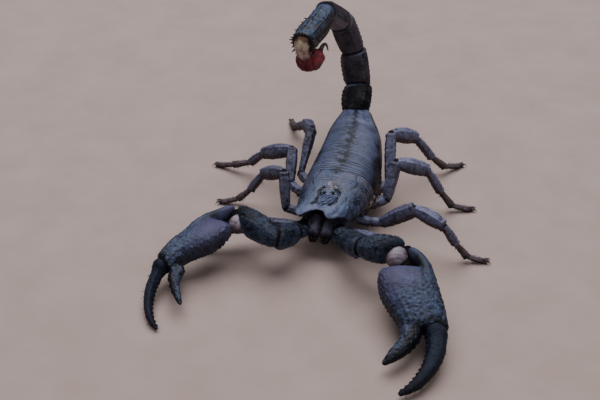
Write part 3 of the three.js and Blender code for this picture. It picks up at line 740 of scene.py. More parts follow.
def carapace():
    angle = np.linspace(-math.pi / 2, math.pi / 2, 261)[None]
    turned = np.sin(angle)
    x0 = turned * half_width(FRONT)
    depth, power = np.where(turned < 0, 1.35, 1.0), np.where(turned < 0, 4.5, 6.0)
    corner_cut = depth * LOBE_ROUNDING * np.abs(turned) ** power
    edge = FRONT + HEAD_TURN * x0 + NOTCH_DEPTH * bell(x0, 0, NOTCH_HALF_WIDTH) + corner_cut
    v = np.linspace(0, 1, 230)[:, None]
    rear = PLATE_ENDS[0] - 0.1
    y = edge + (rear - edge) * v
    held = np.maximum(y, FRONT)
    grid, normal, x, side = arched(held, angle, y)
    from_front = y - edge
    back = y - EYE_MID[1]
    drift = noise(grid, 1.3, 4) * 0.22
    # Raised front rim and swollen lobes either side of the furrow from the notch.
    height = 0.08 * bell(from_front, 0.6, 0.6) - 0.06 * bell(from_front, 1.8, 0.7)
    height += 0.55 * bell(np.abs(x), 3.8, 1.9) * bell(y - FRONT, 2.6, 2.6)
    height -= 0.4 * bell(x, 0, 0.8) * (1 - ramp(back, -3.4, -2.0)) * ramp(from_front, 0.2, 1.2)
    # Eye mound between its two bracket-shaped furrows.
    height += 0.5 * bell(x, 0, 1.5) * bell(back, 0, 1.7)
    brackets = np.minimum(*(from_line(x + drift, back, *stops) for stops in EYE_BRACKETS))
    furrow = bell(brackets, 0, 0.42) * blotches(grid, 1.0, 6, -0.8, -0.3)
    height -= 0.4 * furrow
    # Slanting wrinkles ahead of the eyes and a worm-like pattern behind them.
    inside = 1 - ramp(np.hypot(x / 3.0, (back + 0.9) / 3.2), 0.75, 1.05)
    slant = np.sin((back * 0.9 - x * 0.95 + drift * 2.4) * 6.6)
    ahead = inside * (1 - ramp(back, 0.2, 1.2)) * blotches(grid, 0.8, 18, -0.5, 0.0)
    height += 0.16 * slant * ahead
    pale = ramp(np.abs(noise(grid, 0.66, 9, (1.0, 1.0, 0.5))), 0.16, 0.42)
    behind = bell(x - 0.3, 0, 2.7) * within(back, 0.9, 1.8, 3.6, 5.4)
    height += 0.12 * pale * behind
    # Side keel from the corner, and wrinkles down the flank behind it.
    brink = 0.93 - 0.12 * ramp(from_front, 1.0, 5.0)
    corner = bell(side, brink, 0.03) * within(from_front, 0.2, 1.0, 4.0, 5.6)
    height += 0.2 * corner + 0.5 * bell(side, brink - 0.08, 0.09) * bell(y - FRONT, 2.6, 2.6)
    arcs = np.sin((y + side * 2.4 + drift * 3.5) * 4.4) * ramp(side, 0.78, 0.86) * ramp(from_front, 1.5, 3.5)
    height += 0.09 * arcs
    grooves = bell(side, 0.6 + 0.06 * np.sin(y * 0.9), 0.03) * ramp(from_front, 5.0, 7.0)
    grooves = grooves * blotches(grid, 1.4, 7, -0.4, 0.2)
    height -= 0.12 * grooves
    ripple = np.sin((y + noise(grid, 1.2, 19, (0.3, 1, 0.3)) * 0.3) * CROSS_WRINKLES)
    rippled = ramp(back, 3.6, 5.4) * (1 - ramp(side, 0.8, 0.95))
    height += 0.07 * ripple * rippled
    rough = ramp(side, brink - 0.1 - 0.1 * ramp(from_front, 3.0, 8.0), brink + 0.06)
    pips = granules(grid, 0.6, 3)
    height += 0.12 * pips * rough * ramp(from_front, 0.6, 1.5)
    height += 0.045 * granules(grid, 0.34, 5) * (1 - rough) + 0.03 * noise(grid, 0.5, 8)
    height += 0.08 * bell(y - rear, 0, 0.4) + 0.2 * bell(1 - side, 0, 0.035)
    grid = grid + normal * height[..., None]
    # Painted light: the swollen front lobes are lighter as a painted highlight, and the front edge is darker
    # as painted shade.
    tone = 0.56 + 0.2 * bell(from_front, 2.2, 1.8) * (1 - ramp(side, 0.6, 0.95)) + 0.16 * noise(grid, 1.9, 12)
    tone += 0.16 * noise(grid, 0.8, 13, (1.6, 0.45, 1.0)) - 0.12 * bell(from_front, 0.0, 0.4)
    # Painted shade darkens the eye furrows and the side grooves; the granular side band is darker, partly its
    # own colour and partly painted shade where the flanks turn down.
    tone += 0.12 * pips * rough - 0.95 * furrow - 0.5 * grooves + 0.3 * corner + 0.12 * arcs
    tone += 0.46 * slant * ahead + 0.2 * ripple * rippled - 0.36 * rough
    # Dark worm-like pattern behind the eyes, and painted shade in the median furrow from the notch.
    tone -= 0.55 * behind * (1 - pale) + 0.3 * bell(x, 0, 0.5) * (1 - ramp(back, -4.6, -3.2))
    lash = blotches(grid, 0.5, 14, 0.1, 0.4, (0.5, 1.2, 0.5))
    tone -= 0.6 * lash * bell(x + 0.4, 0, 2.0) * ramp(back, 4.2, 6.0)
    tone -= 0.2 * bell(np.hypot(np.abs(x) - EYE_GAP, back), EYE_SIZE * 1.15, 0.12)
    stain = 0.8 * behind * pale * (1 - furrow) * blotches(grid, 1.5, 16, -0.5, 0.1)
    stain = np.maximum(stain, 0.16 * ramp(back, 1.5, 5.0) * blotches(grid, 2.4, 17, -0.5, 0.5))
    under = grid - normal * (PLATE_LIP * (0.5 + 0.4 * ramp(side, 0.8, 1.0)))[..., None]
    under[..., 2] = np.maximum(under[..., 2], rim_height(held) - PLATE_LIP)
    return closed_plate(grid, under, tone, stain)


def tergite(k):
    start, end = PLATE_ENDS[k - 1], PLATE_ENDS[k]
    length = end - start
    angle = np.linspace(-math.pi / 2, math.pi / 2, 201)[None]
    v = np.linspace(0, 1, int(round((length + 1.0) / 0.13)))[:, None]
    y = (start - 0.9) + (length + 0.9 + 0.12) * v + 0 * angle
    bow = 0.126 * np.cos(angle) ** 2 * (1 if k < 7 else 1 - v)
    held = np.clip(y, FRONT, PLATE_ENDS[7])
    grid, normal, x, side = arched(held, angle, y + bow)
    into = y - start
    left = end - y
    wander = noise(grid, 1.3, 20 + k, (0.25, 1, 0.25)) * 0.3
    wrinkle = np.sin((y + wander + 0.35 * side ** 3) * CROSS_WRINKLES)
    height = -0.75 * (1 - ramp(into, -0.6, 0.5))
    plain = ramp(side, 0.8, 0.97)
    fading = 1 if k < 6 else (1 - ramp(into, 1.0, 6.0)) * 0.8 + 0.2
    height += 0.13 * wrinkle * fading * ramp(into, 0.3, 0.8) * (1 - plain)
    height += 0.08 * bell(left, 0.3, 0.3)
    midline = bell(x, 0.12 * np.sin(y * 1.7), 0.3) * blotches(grid, 0.9, 30 + k, -0.35, 0.1)
    height += 0.16 * midline * ramp(into, 0.2, 1.0)
    height -= 0.1 * bell(np.abs(x), 1.5, 0.5) * ramp(into, 0.2, 1.0)
    pips = granules(grid, 0.5, 40 + k)
    coarse = ramp(side, 0.78, 1.0)
    height += 0.09 * pips * coarse + 0.025 * granules(grid, 0.3, 50 + k)
    height += 0.14 * bell(1 - side, 0, 0.04)
    # The granular side edges are darker, as painted shade where the plates turn down.
    tone = 0.56 + 0.48 * wrinkle * fading * (1 - plain) - (0.5 - 0.1 * pips) * coarse
    # The raised rear margin is painted a little lighter, and its very edge dark as a painted shadow line over
    # the next plate.
    tone += 0.1 * bell(left, 0.4, 0.35) - 0.2 * bell(left, 0.0, 0.1)
    # The plate's left part (x above 3 mm) is a little darker, as painted shade on that side.
    tone += 0.2 * noise(grid, 2.6, 60 + k) + 0.1 * noise(grid, 0.7, 65 + k) - 0.1 * ramp(x, 3.0, 8.0)
    # Blotchy dark bands along the sides: painted shade on the plate sides.
    tone -= (0.5 if k > 2 else 0.15) * ramp(side, 0.68, 0.84) * blotches(grid, 3.4, 95, -0.5, 0.1)
    dash = blotches(grid, 0.62, 70 + k, -0.1, 0.15, (0.4, 1.4, 0.4))
    stain = 0.95 * bell(x, 0.3 * np.sin(y * 1.7), 0.75) * blotches(grid, 0.7, 75 + k, -0.8, -0.3)
    stain = stain + 0.95 * dash * bell(x + 0.8, 0, 2.4) * (1 if k < 7 else 0.3)
    if k == 7:
        height += 0.08 * granules(grid, 0.75, 79) * ramp(into, 1.0, 3.0)
        tone += 0.16 + 0.24 * noise(grid, 1.1, 78) + 0.14 * noise(grid, 0.9, 77, (1.6, 0.5, 1.0))
        keels = bell(side, 0.36, 0.035) + bell(side, 0.68, 0.035)
        points = teeth(y, 0.9)
        height += 0.32 * keels * (0.5 + 0.5 * points) * ramp(into, 1.5, 3.5)
        stain = stain + 0.5 * bell(x, 0, 0.35) * ramp(into, 3, 6)
        tone -= 0.15 * keels
    grid = grid + normal * height[..., None]
    under = grid - normal * 0.5
    under[..., 2] = np.maximum(under[..., 2], rim_height(held) - PLATE_LIP + 0.02)
    return closed_plate(grid, under, tone, np.clip(stain, 0, 1))


piece("carapace", [carapace()], "carapace")
for number, node in enumerate(TERGITES, 1):
    piece(node, [tergite(number)], "tergite")
for eye, label in zip(EYES, SIDES):
    piece(f"median_eye_{label}", [ball(eye, [EYE_SIZE] * 3)], "eye")

beads = []
for sign, k in product((-1, 1), range(3)):
    spot = dome(np.array(FRONT + 2.5 + 0.75 * k), np.array(sign * (1.16 + 0.03 * k)))
    beads.append(ball(spot + np.array([sign * 0.1, 0, 0.1]), [0.26] * 3, n=8, m=12))
piece("lateral_eyes", beads, "eye")


# ---------------------------------------------------------------- legs
joint_skins = []
hair_roots = {"leg": [], "arm": [], "tail": []}
leg_roots = {}


def sized(node, a, b, up=UP):
    """Half width and half height of a node halfway from a to b."""
    found = measure(triangles(node), (a + b) / 2, unit(b - a), up, reach=0.75 * np.linalg.norm(b - a) + 2)
    return found[1:]


def leg_relief(seed, keels, rough, tint, light_tone=0.12):
    """Keels along a leg segment, grains between them and dark ends."""
    def relief(t, angle, grid):
        toothed = ramp(t, 0.05, 0.2) * (0.6 + 0.4 * teeth(t * 12, 1.0))
        height = 0.24 * sum(keel(angle, at, 8) for at in keels) * toothed
        height = height - 0.09 * sum(keel(angle, at + 24, 12) for at in keels)
        pips = granules(grid, 0.42, seed)
        height = height + 1.4 * rough * pips + 0.06 * noise(grid, 0.9, seed + 1)
        collar = bell(t, 0.95, 0.03)
        height = height + 0.16 * collar - 0.1 * bell(t, 0.88, 0.03)
        # Keels are painted paler, as painted highlights along the ridges.
        tone = 0.5 + 0.18 * sum(keel(angle, at, 10) for at in keels) + 0.1 * pips
        tone = tone + 0.16 * collar - 0.3 * (1 - ramp(t, 0.0, 0.12)) + 0.1 * noise(grid, 1.8, seed + 2)
        pits = blotches(grid, 0.5, seed + 6, 0.15, 0.4)
        height = height - 0.06 * pits
        # Painted light: the top of each segment is lighter than its underside, and the segment's per-side
        # light tone is added.
        tone = tone + 0.08 * np.cos(angle) + light_tone + 0.2 * noise(grid, 0.9, seed + 4) - 0.3 * pits
        tone = tone - 0.35 * ramp(t, 0.93, 1.0)
        stain = tint * ramp(t, 0.55, 1.0) + 0.45 * blotches(grid, 1.3, seed + 3, 0.1, 0.6)
        stain = stain + 0.75 * ramp(-np.cos(angle), -0.1, 0.4)
        return height, tone, np.clip(stain, 0, 1)
    return relief


# Along each segment: share of its size at each place, keels in degrees from its top, roughness, tint of its
# end, and number and length of its bristles.
LEG_SEGMENTS = (
    (([0, 0.82], [0.5, 1.0], [1, 0.94]), (30, -30, 180), 0.1, 0.15, 0, 0.0),
    (([0, 0.74], [0.35, 0.96], [0.75, 1.06], [1, 0.94]), (38, -38, 142, -142), 0.1, 0.15, 8, 0.8),
    (([0, 0.66], [0.3, 0.98], [0.6, 1.08], [1, 0.8]), (28, -40, 150, -150), 0.1, 0.15, 10, 0.9),
    (([0, 0.64], [0.4, 0.8], [0.8, 0.88], [1, 0.82]), (45, -45, 180), 0.1, 0.15, 18, 1.0),
    (([0, 0.78], [0.5, 0.94], [0.85, 1.08], [1, 1.0]), (60, -60), 0.05, 0.4, 34, 1.1),
    (([0, 0.8], [0.5, 1.0], [0.85, 1.0], [1, 0.66]), (70, -70), 0.05, 0.4, 44, 1.0),
)
# Tone added to each leg segment on the left and the right side: painted light, the same cuticle lit
# differently on the two sides, lighter on the left legs, most at patella and tibia.
LEG_LIGHT_TONES = {"left": (0.04, 0.04, 0.26, 0.26, 0.12, 0.12), "right": (-0.06, -0.16, -0.02, 0.06, 0.04, 0.12)}
SLIM_FEMUR = ([0, 0.5], [0.3, 0.66], [0.75, 0.98], [1, 0.96])
LEG_PIECES = (("femur", "leg", "leg_shell"), ("shin", "leg", "leg_shell"), ("foot", "foot", "tarsus_shell"))


def leg_joints(name):
    """The seven joint centres of a leg, from its coxa to its tip."""
    femur, shin, foot = (f"{name}_{part}" for part, _, _ in LEG_PIECES)
    p0, d0 = meeting("prosoma_underside", femur)
    p2, d2 = meeting(femur, shin)
    p4, d4 = meeting(shin, foot)
    p6 = tip_of(foot, p4)
    reach = np.linalg.norm(p2 - p0)
    p1 = knuckle(femur, p0, d0, p2, -d2, 4.5 / (reach + 1.5), (2.2, 0.3 * reach))
    p3 = knuckle(shin, p2, d2, p4, -d4, 0.57, (0.2 * reach, 0.18 * reach))
    p5 = knuckle(foot, p4, d4, p6, unit(p4 - p6), 0.52, (2.2, 2.2))
    return [p0, p1, p2, p3, p4, p5, p6]


def claws(tip, heading, width):
    """The two hooked claws, the spur between them and the lobes over them."""
    flat = unit(heading * np.array([1, 1, 0.0]))
    side = np.cross(flat, UP)
    base = tip + UP * 0.55 * width
    made = []
    for sign in (-1, 1):
        root = base + side * sign * width * 0.28
        hook = root + flat * 1.15 + side * sign * 0.55
        hook[2] = max(hook[2] - 0.75 * width, 0.12)
        made.append(spine(root - flat * 0.5, hook, 0.26, UP * 0.42, sides=8, rings=8, tone=0.15, stain=1.0))
        made.append(ball(root - flat * 0.3 + UP * 0.08, [0.34, 0.3, 0.6], flat, UP, 8, 12, 0.55, 0.3))
    spur = base + flat * 0.7 - UP * 0.2
    made.append(spine(base - flat * 0.4, spur, 0.2, tone=0.2, stain=0.8))
    return made


for side_name, pair in product(SIDES, (1, 2, 3, 4)):
    name = f"leg_{side_name}_{pair}"
    joints = leg_joints(name)
    leg_roots[name] = joints[1]
    skins = []
    seed = pair * 20 + (200 if side_name == "left" else 0)
    for k, (shape, keels, rough, tint, *hairs) in enumerate(LEG_SEGMENTS):
        a, b = joints[k], joints[k + 1]
        length = np.linalg.norm(b - a)
        axis = unit(b - a)
        w, h = (size * (1.02 if k == 5 else 1) for size in sized(f"{name}_{LEG_PIECES[k // 2][0]}", a, b))
        ease = 0.3 * w
        start = a - axis * (ease if k else 0.5)
        end = b + axis * ease if k < 5 else b - axis * 0.2
        shape = curve(*(SLIM_FEMUR if k == 1 and name == "leg_right_4" else shape))
        rise = across(axis)[1] * 0.12 * w
        skins.append(limb(
            start, end, UP, times(w, shape), times(h, shape),
            leg_relief(seed + k * 3, keels, rough, tint, LEG_LIGHT_TONES[side_name][k]),
            count=max(24, int(length / 0.17)), around=48, bevel=(0.55 * w, 0.5 * w), squareness=2.2,
            bow=(lambda t: np.outer(4 * t * (1 - t), rise)) if k in (1, 2, 3) else None,
        ))
        hair_roots["leg"].append((start, end, w * 0.98, h * 0.98, UP, *hairs))
        if k:
            joint_skins.append(ball(a, [0.7 * w, 0.7 * h, 0.7 * w], axis, UP, tone=0.4))
    skins += claws(joints[6], unit(joints[6] - joints[5]), CLAW_WIDTH)
    for (part, look, slot), held in zip(LEG_PIECES, (skins[:2], skins[2:4], skins[4:])):
        piece(f"{name}_{part}", held, look)


# ---------------------------------------------------------------- tail
def tail_joints():
    points, ways = [], []
    chain = ["tergite_7"] + [f"metasoma_{k}" for k in range(1, 6)]
    for a, b in zip(chain, chain[1:]):
        point, way = meeting(a, b)
        points.append(point)
        ways.append(way)
    last = triangles("metasoma_5")
    far = last.reshape(-1, 3) @ heading_from(last, points[-1], ways[-1], 6)
    end = last.reshape(-1, 3)[far > far.max() - 0.05]
    points.append((end.max(0) + end.min(0)) / 2)
    points[4] = points[4] + np.array([-0.3, 0.0, 0.3])
    points[5] = points[5] + np.array([0.6, 0.0, 0.2])
    return points


TAIL = tail_joints()
TAIL_ACROSS = unit(np.array([1, 0, 0.12]))


def tail_relief(number, seed):
    ridges = (38, 84, 128, 165) if number < 5 else (40, 90, 132, 180)

    def relief(t, angle, grid):
        inside = within(t, 0.06, 0.16, 0.86, 0.95)
        along = np.linalg.norm(grid - TAIL[number - 1], axis=-1)
        crest = 0
        for at in ridges:
            for sign in ((1,) if at == 180 else (1, -1)):
                crest = crest + keel(angle, sign * at, 6.5) * (0.45 if at == 84 and number > 2 else 1)
        points = teeth(along, 0.95 if number == 5 else 1.15)
        height = crest * inside * ((0.2 if number < 5 else 0.08) + 0.24 * points)
        height = height - 0.1 * inside * (1 - np.clip(crest, 0, 1)) * (0.6 + 0.4 * np.cos(2 * angle))
        collar = bell(t, 0.945, 0.025)
        height = height + 0.08 * collar + 0.06 * bell(t, 0.06, 0.03)
        pips = granules(grid, 0.62 if number == 5 else 0.5, seed)
        under = ramp(-np.cos(angle), -0.2, 0.4) if number == 5 else 0.3
        height = height + 0.15 * pips * under * inside + 0.03 * noise(grid, 0.45, seed + 1)
        tone = 0.25 + 0.2 * crest * inside * points + 0.12 * noise(grid, 2.4, seed + 2) + 0.06 * pips
        tone = tone - 0.26 * (number == 1) + 0.14 * (number == 3)
        # The dorsal face of the fourth segment is painted lighter, as a painted sheen of light.
        tone = tone + (number == 4) * ramp(np.cos(angle), 0.1, 0.7)
        # Pale bluish rims at the joints, on the dorsal half only: painted highlights along the rims.
        rim_glint = bell(t, 0.965, 0.014) + 0.6 * bell(t, 0.045, 0.014) + 0.8 * bell(t, 0.93, 0.04) * (number == 1)
        stain = 0.7 * rim_glint * blotches(grid, 1.6, seed + 5, -0.3, 0.3) * ramp(np.cos(angle), -0.3, 0.3)
        if number == 5:
            streak = blotches(grid, 0.8, seed + 4, 0.0, 0.35, (1.6, 0.5, 1.0))
            shade = ramp(-np.cos(angle), 0.15, 0.5)
            tone = 0.5 + 0.2 * pips + 0.15 * noise(grid, 2.0, seed + 2) - 0.34 * (1 - shade)
            stain = 0.95 * crest * (1 - 0.6 * keel(angle, 180, 8)) * inside + ramp(t, 0.93, 0.98)
            stain = stain + 0.75 * streak * inside + 0.5 * (1 - shade)
        return height, tone, np.clip(stain, 0, 1)

    return relief


TAIL_SWELL = ([0, 0.86], [0.12, 0.93], [0.45, 1.0], [0.85, 0.98], [1, 0.93])
FIRST_TAIL_SWELL = ([0, 0.66], [0.2, 0.88], [0.5, 1.0], [0.85, 0.98], [1, 0.93])
# Rows of thorns: degrees from the top, and how long the thorns are.
THORN_ROWS = {66: 1.1, 123: 2.3, -66: 1.1, 180: 0.5, -132: 1.1}


def thorns(a, b, back, w, h):
    """The crown of thorns round the end of the last segment, and the rows of thorns along it."""
    axis = unit(b - a)
    side, back = across(axis, back)
    rng = np.random.default_rng(5)

    def thorn(middle, angle, wide, high, size, radius):
        spot = middle + side * math.sin(angle) * wide + back * math.cos(angle) * high
        out = side * math.sin(angle) + back * math.cos(angle)
        tip = spot + out * size + axis * size * 0.5
        return spine(spot, tip, radius, tone=0.1, stain=1.0, sides=7, rings=5)

    made = []
    for angle in np.linspace(0, 2 * math.pi, 20, endpoint=False) + rng.uniform(-0.08, 0.08, 20):
        middle = b - axis * rng.uniform(0.5, 0.9)
        longer = 0.8 * max(0.0, math.sin(angle)) + 0.3 * max(0.0, math.cos(angle))
        size = rng.uniform(0.8, 1.4) * (0.55 + longer)
        made.append(thorn(middle, angle, w * 0.84, h * 0.84, size, 0.42))
    for (at, length), share in product(THORN_ROWS.items(), np.linspace(0.4, 0.9, 5)):
        reach = 0.95 if abs(at) > 90 else 1.06
        size = rng.uniform(0.35, 0.6) * length
        made.append(thorn(a + (b - a) * share, math.radians(at), w * reach, h * reach, size, 0.26))
    return made


for number in range(1, 6):
    node = f"metasoma_{number}"
    a, b = TAIL[number - 1], TAIL[number]
    axis = unit(b - a)
    back = unit(np.cross(TAIL_ACROSS, axis))
    before = unit(a - TAIL[number - 2]) if number > 1 else None
    after = unit(TAIL[number + 1] - b) if number < 5 else None
    w, h = sized(node, a, b, back)
    swell = curve(*(TAIL_SWELL if number > 1 else FIRST_TAIL_SWELL))
    skins = [limb(
        a + axis * (0.1 if number > 1 else -1.3), b - axis * 0.1, back, times(w, swell), times(h, swell),
        tail_relief(number, 300 + number * 10), count=int(np.linalg.norm(b - a) / 0.15), around=150,
        bevel=(0.6, 0.5), squareness=2.5, planes=(before, after),
        bow=(lambda t: np.outer(bell(t, 0.3, 0.3), back * 0.9)) if number == 5 else None,
    )]
    if number == 5:
        skins += thorns(a, b, back, w, h)
    piece(node, skins, "tail_end" if number == 5 else "tail")
    hair_roots["tail"].append((a, b, w, h, back, 16, 0.9))
    if number > 1:
        joint_skins.append(ball(a, [w * 0.82, h * 0.82, 1.3], before + axis, back, 12, 36, 0.2))
axis5, w5, h5 = axis, w, h

# The sting: centrelines run both ways from the cut between bulb and hook.
STING, STING_WAY = meeting("vesicle", "aculeus")
bulb = walk("vesicle", STING, -STING_WAY, TAIL_ACROSS, 0.35, 6.5)[::-1]
hook = walk("aculeus", STING, STING_WAY, TAIL_ACROSS, 0.3, 4.0)


def swept(rows, up, count, around, relief=None, squareness=2.0, grow=1.0, ends=(0.2, 0.2)):
    """A skin along a walked centreline, with rounded ends."""
    centre, half_w, half_h = rows[:, :3], rows[:, 3] * grow, rows[:, 4] * grow
    gone = np.concatenate([[0], np.cumsum(np.linalg.norm(np.diff(centre, axis=0), axis=1))])
    s, inset = stations(gone[-1], count, ends)
    spread = np.hanning(13) / np.hanning(13).sum()

    def read(column):
        values = np.interp(s, gone, column)
        lead, trail = 2 * values[0] - values[6:0:-1], 2 * values[-1] - values[-2:-8:-1]
        return np.convolve(np.concatenate([lead, values, trail]), spread, "valid")

    path = np.stack([read(centre[:, k]) for k in range(3)], -1)
    tangent = unit(np.gradient(path, axis=0))
    side = unit(np.cross(up, tangent))
    back = np.cross(tangent, side)
    w, h = read(half_w), read(half_h)
    angle, x, z = ring_offsets(w, h, around, squareness)
    shrink = np.clip(1 - inset / np.minimum(w, h), 0.05, 1)[:, None]
    grid = path[:, None] + (x * shrink)[..., None] * side[:, None] + (z * shrink)[..., None] * back[:, None]
    tone, stain = 0.5, 0.0
    if relief:
        height, tone, stain = relief((s / gone[-1])[:, None], angle[None], grid)
        grid = grid + grid_normals(grid) * (height * shrink ** 0.5)[..., None]
    return closed_tube(grid, tone, stain)


def bulb_relief(t, angle, grid):
    pips = granules(grid, 0.9, 500, 0.6)
    rows = 0.5 + 0.5 * np.cos(angle * 7 + 0.6 * noise(grid, 2.0, 504))
    inside = within(t, 0.1, 0.25, 0.85, 0.97)
    height = (0.24 * pips + 0.05 * noise(grid, 0.5, 501) + 0.16 * rows) * inside
    tone = 0.42 + 0.3 * pips + 0.2 * rows + 0.3 * noise(grid, 1.7, 502)
    stain = 0.6 * blotches(grid, 1.4, 503, 0.1, 0.5) * (1 - ramp(t, 0.8, 1.0)) + 0.5 * ramp(t, 0.85, 1.0)
    return height, tone, np.clip(stain, 0, 1)


def hook_relief(t, angle, grid):
    return 0.01 * noise(grid, 0.4, 510), 0.5 - 0.3 * t, 0.7 * (1 - ramp(t, 0.0, 0.5))


vesicle = swept(bulb, TAIL_ACROSS, 90, 110, bulb_relief, grow=0.95, ends=(0.9, 0.2))
piece("vesicle", [vesicle], "venom")
aculeus = swept(hook, TAIL_ACROSS, 50, 40, hook_relief, grow=0.72, ends=(0.1, 0.1))
piece("aculeus", [aculeus], "sting")
hair_roots["tail"].append((bulb[1, :3], bulb[-1, :3], *bulb[len(bulb) // 2, 3:], TAIL_ACROSS, 40, 1.2))


def cream_relief(t, angle, grid):
    folds = 0.16 * np.sin(angle * 6 + 1.5 * noise(grid, 1.2, 522)) + 0.06 * np.sin(t * 30 + np.cos(angle) * 2)
    tone = 0.7 + 0.3 * noise(grid, 0.9, 521) - 0.95 * (1 - ramp(t, 0.155, 0.19))
    tone = tone - 0.2 * ramp(np.cos(angle), 0.2, 0.9) + folds
    stain = bell(t, 0.188, 0.02) * ramp(-np.sin(angle), 0.7, 0.98) * blotches(grid, 0.8, 523, -0.6, -0.1)
    return folds + 0.1 * noise(grid, 0.6, 520), tone, 0.7 * stain


# Soft skin from the last tail segment to the bulb.
mouth = TAIL[5] + axis5 * 0.4
inlet = bulb[1, :3] + UP * 2.1 - axis5 * 0.3 - np.array([0.7, 0, 0])
track = np.array([
    [*point, w5 * wide, h5 * high] for point, wide, high in (
        (TAIL[5] - axis5 * 1.4, 0.72, 0.72), (mouth, 0.68, 0.68),
        ((mouth + inlet) / 2 + axis5 * 0.5, 0.66, 0.64), (inlet, 0.6, 0.56), (inlet - UP * 1.3, 0.52, 0.5),
    )
])
cream = swept(track, TAIL_ACROSS, 50, 64, cream_relief)


# ---------------------------------------------------------------- pedipalps
def arm_relief(seed, ridges):
    """Low toothed ridges along a claw arm, with granules and pits between them."""
    def relief(t, angle, grid):
        crest = sum(keel(angle, at, 6) for at in ridges)
        inside = within(t, 0.05, 0.2, 0.8, 0.95)
        height = crest * inside * (0.02 + 0.22 * teeth(t * 16, 0.9))
        pips = granules(grid, 0.8, seed, 0.6)
        patch = blotches(grid, 2.2, seed + 1, -0.6, 0.4)
        pits = blotches(grid, 0.7, seed + 4, 0.1, 0.42)
        height = height + 0.2 * pips * (0.4 + 0.6 * patch) - 0.1 * pits + 0.1 * bell(t, 0.965, 0.02)
        height = height + 0.08 * granules(grid, 0.4, seed + 2)
        # Painted light on the lower faces: the top of each segment is toned down against its flanks and
        # underside.
        above = ramp(np.cos(angle), -0.7, 0.5)
        tone = 0.52 + 0.16 * pips * patch - 0.3 * above + 0.18 * noise(grid, 2.6, seed + 3)
        stain = 0.85 * pits * (0.6 + 0.4 * patch)
        return height, tone, np.clip(stain, 0, 1)
    return relief


ARM_SHAPES = {
    "trochanter": ([0, 0.84], [0.5, 1.0], [1, 0.9]),
    "femur": ([0, 0.78], [0.3, 0.96], [0.65, 1.02], [1, 0.92]),
    "patella": ([0, 0.66], [0.2, 0.9], [0.5, 1.05], [0.78, 0.98], [1, 0.7]),
}
ARM_RIDGES = (40, -52, 100, -104, 158, -158)
# What differs between the claws. Places are along the hand, outward and up from the root of the palm: pale is
# the middle of the pale joint skin, and fillings are the dark soft lumps beside it under the outer lobe, dark
# as painted shadow in the gap there, with their radii. finger and movable say how slim the two fingers are.
Claw = namedtuple("Claw", (
    "seed", "root", "pale", "radius", "fillings", "start", "slant", "lobe_back", "finger", "behind", "out",
    "full", "movable",
))
CLAWS = {
    "left": Claw(
        seed=600, root=(0, -1.2, -1.0), pale=(0.0, -0.2, -0.6), radius=3.15,
        fillings=((2.6, 2.4, -1.0, 2.1, 1.8, 3.4), (-1.5, 2.8, -0.6, 1.7, 1.6, 2.4)),
        start=5.2, slant=0.0, lobe_back=0.0, finger=0.92, behind=5.5, out=0.4, full=1.35, movable=0.9,
    ),
    "right": Claw(
        seed=650, root=(-1.0, -1.2, -1.0), pale=(-0.3, -1.3, -0.8), radius=2.75,
        fillings=((1.0, 1.8, -1.3, 1.8, 1.5, 3.0), (-2.4, 0.9, 0.0, 1.8, 1.6, 2.2)),
        start=3.5, slant=0.3, lobe_back=2.2, finger=0.7, behind=3.4, out=1.4, full=0.95, movable=0.68,
    ),
}
# The outer lobe from rear to front: along, outward and up, then half sizes.
LOBE = (
    (-1.9, 2.5, 1.3, 0.6, 0.8), (-0.7, 3.3, 1.2, 1.25, 1.9), (1.4, 4.7, 0.8, 1.7, 2.8),
    (4.0, 5.9, 0.5, 1.95, 3.4), (7.5, 6.6, 0.2, 2.1, 4.0), (11.0, 7.0, 0.0, 2.1, 4.2),
)


def hand_frame(side_name):
    """Base of the movable finger, root of the palm, and the ways along the hand, outward to that finger and
    up through the hand's back."""
    hand, finger = f"palp_{side_name}_hand", f"palp_{side_name}_movable_finger"
    knuckle_point, along = meeting(hand, finger)
    wrist = meeting(f"palp_{side_name}_patella", hand)[0] + np.array(CLAWS[side_name].root)
    points = section(triangles(hand), wrist + along * 10, along) - wrist
    points = points - np.outer(points @ along, along)
    flat = np.linalg.svd(points - points.mean(0), full_matrices=False)[2][0]
    if flat @ (knuckle_point - wrist) < 0:
        flat = -flat
    back = np.cross(flat, along)
    if back[2] < 0:
        back = -back
    return knuckle_point, (wrist, along, flat, back)


def placed(palm, ahead, out, up):
    """A point given along the hand, outward and up from the root of the palm."""
    wrist, along, flat, back = palm
    return wrist + along * ahead + flat * out + back * up


def palm_profile(side_name, wrist, along, flat, back):
    """Curves along the palm: its inner, outer, lower and upper side."""
    tris = triangles(f"palp_{side_name}_hand")
    rows = []
    for s in np.arange(4.0, 24.0, 0.9):
        points = section(tris, wrist + along * s, along) - wrist
        o, n = points @ flat, points @ back
        rows.append([s, o.min(), o.max(), n.min(), n.max()])
    rows = np.array(rows)
    if side_name == "right":
        # The tighter hand narrows toward its fingers.
        rows[:, 1] += (rows[:, 2] - rows[:, 1]) * 0.32 * ramp(rows[:, 0], 9, 19)
        rows[:, 2] *= 1 - 0.12 * ramp(rows[:, 0], 15, 24)
    return [curve(*rows[:, (0, k)]) for k in (1, 2, 3, 4)], rows[-1, 0] + 0.1


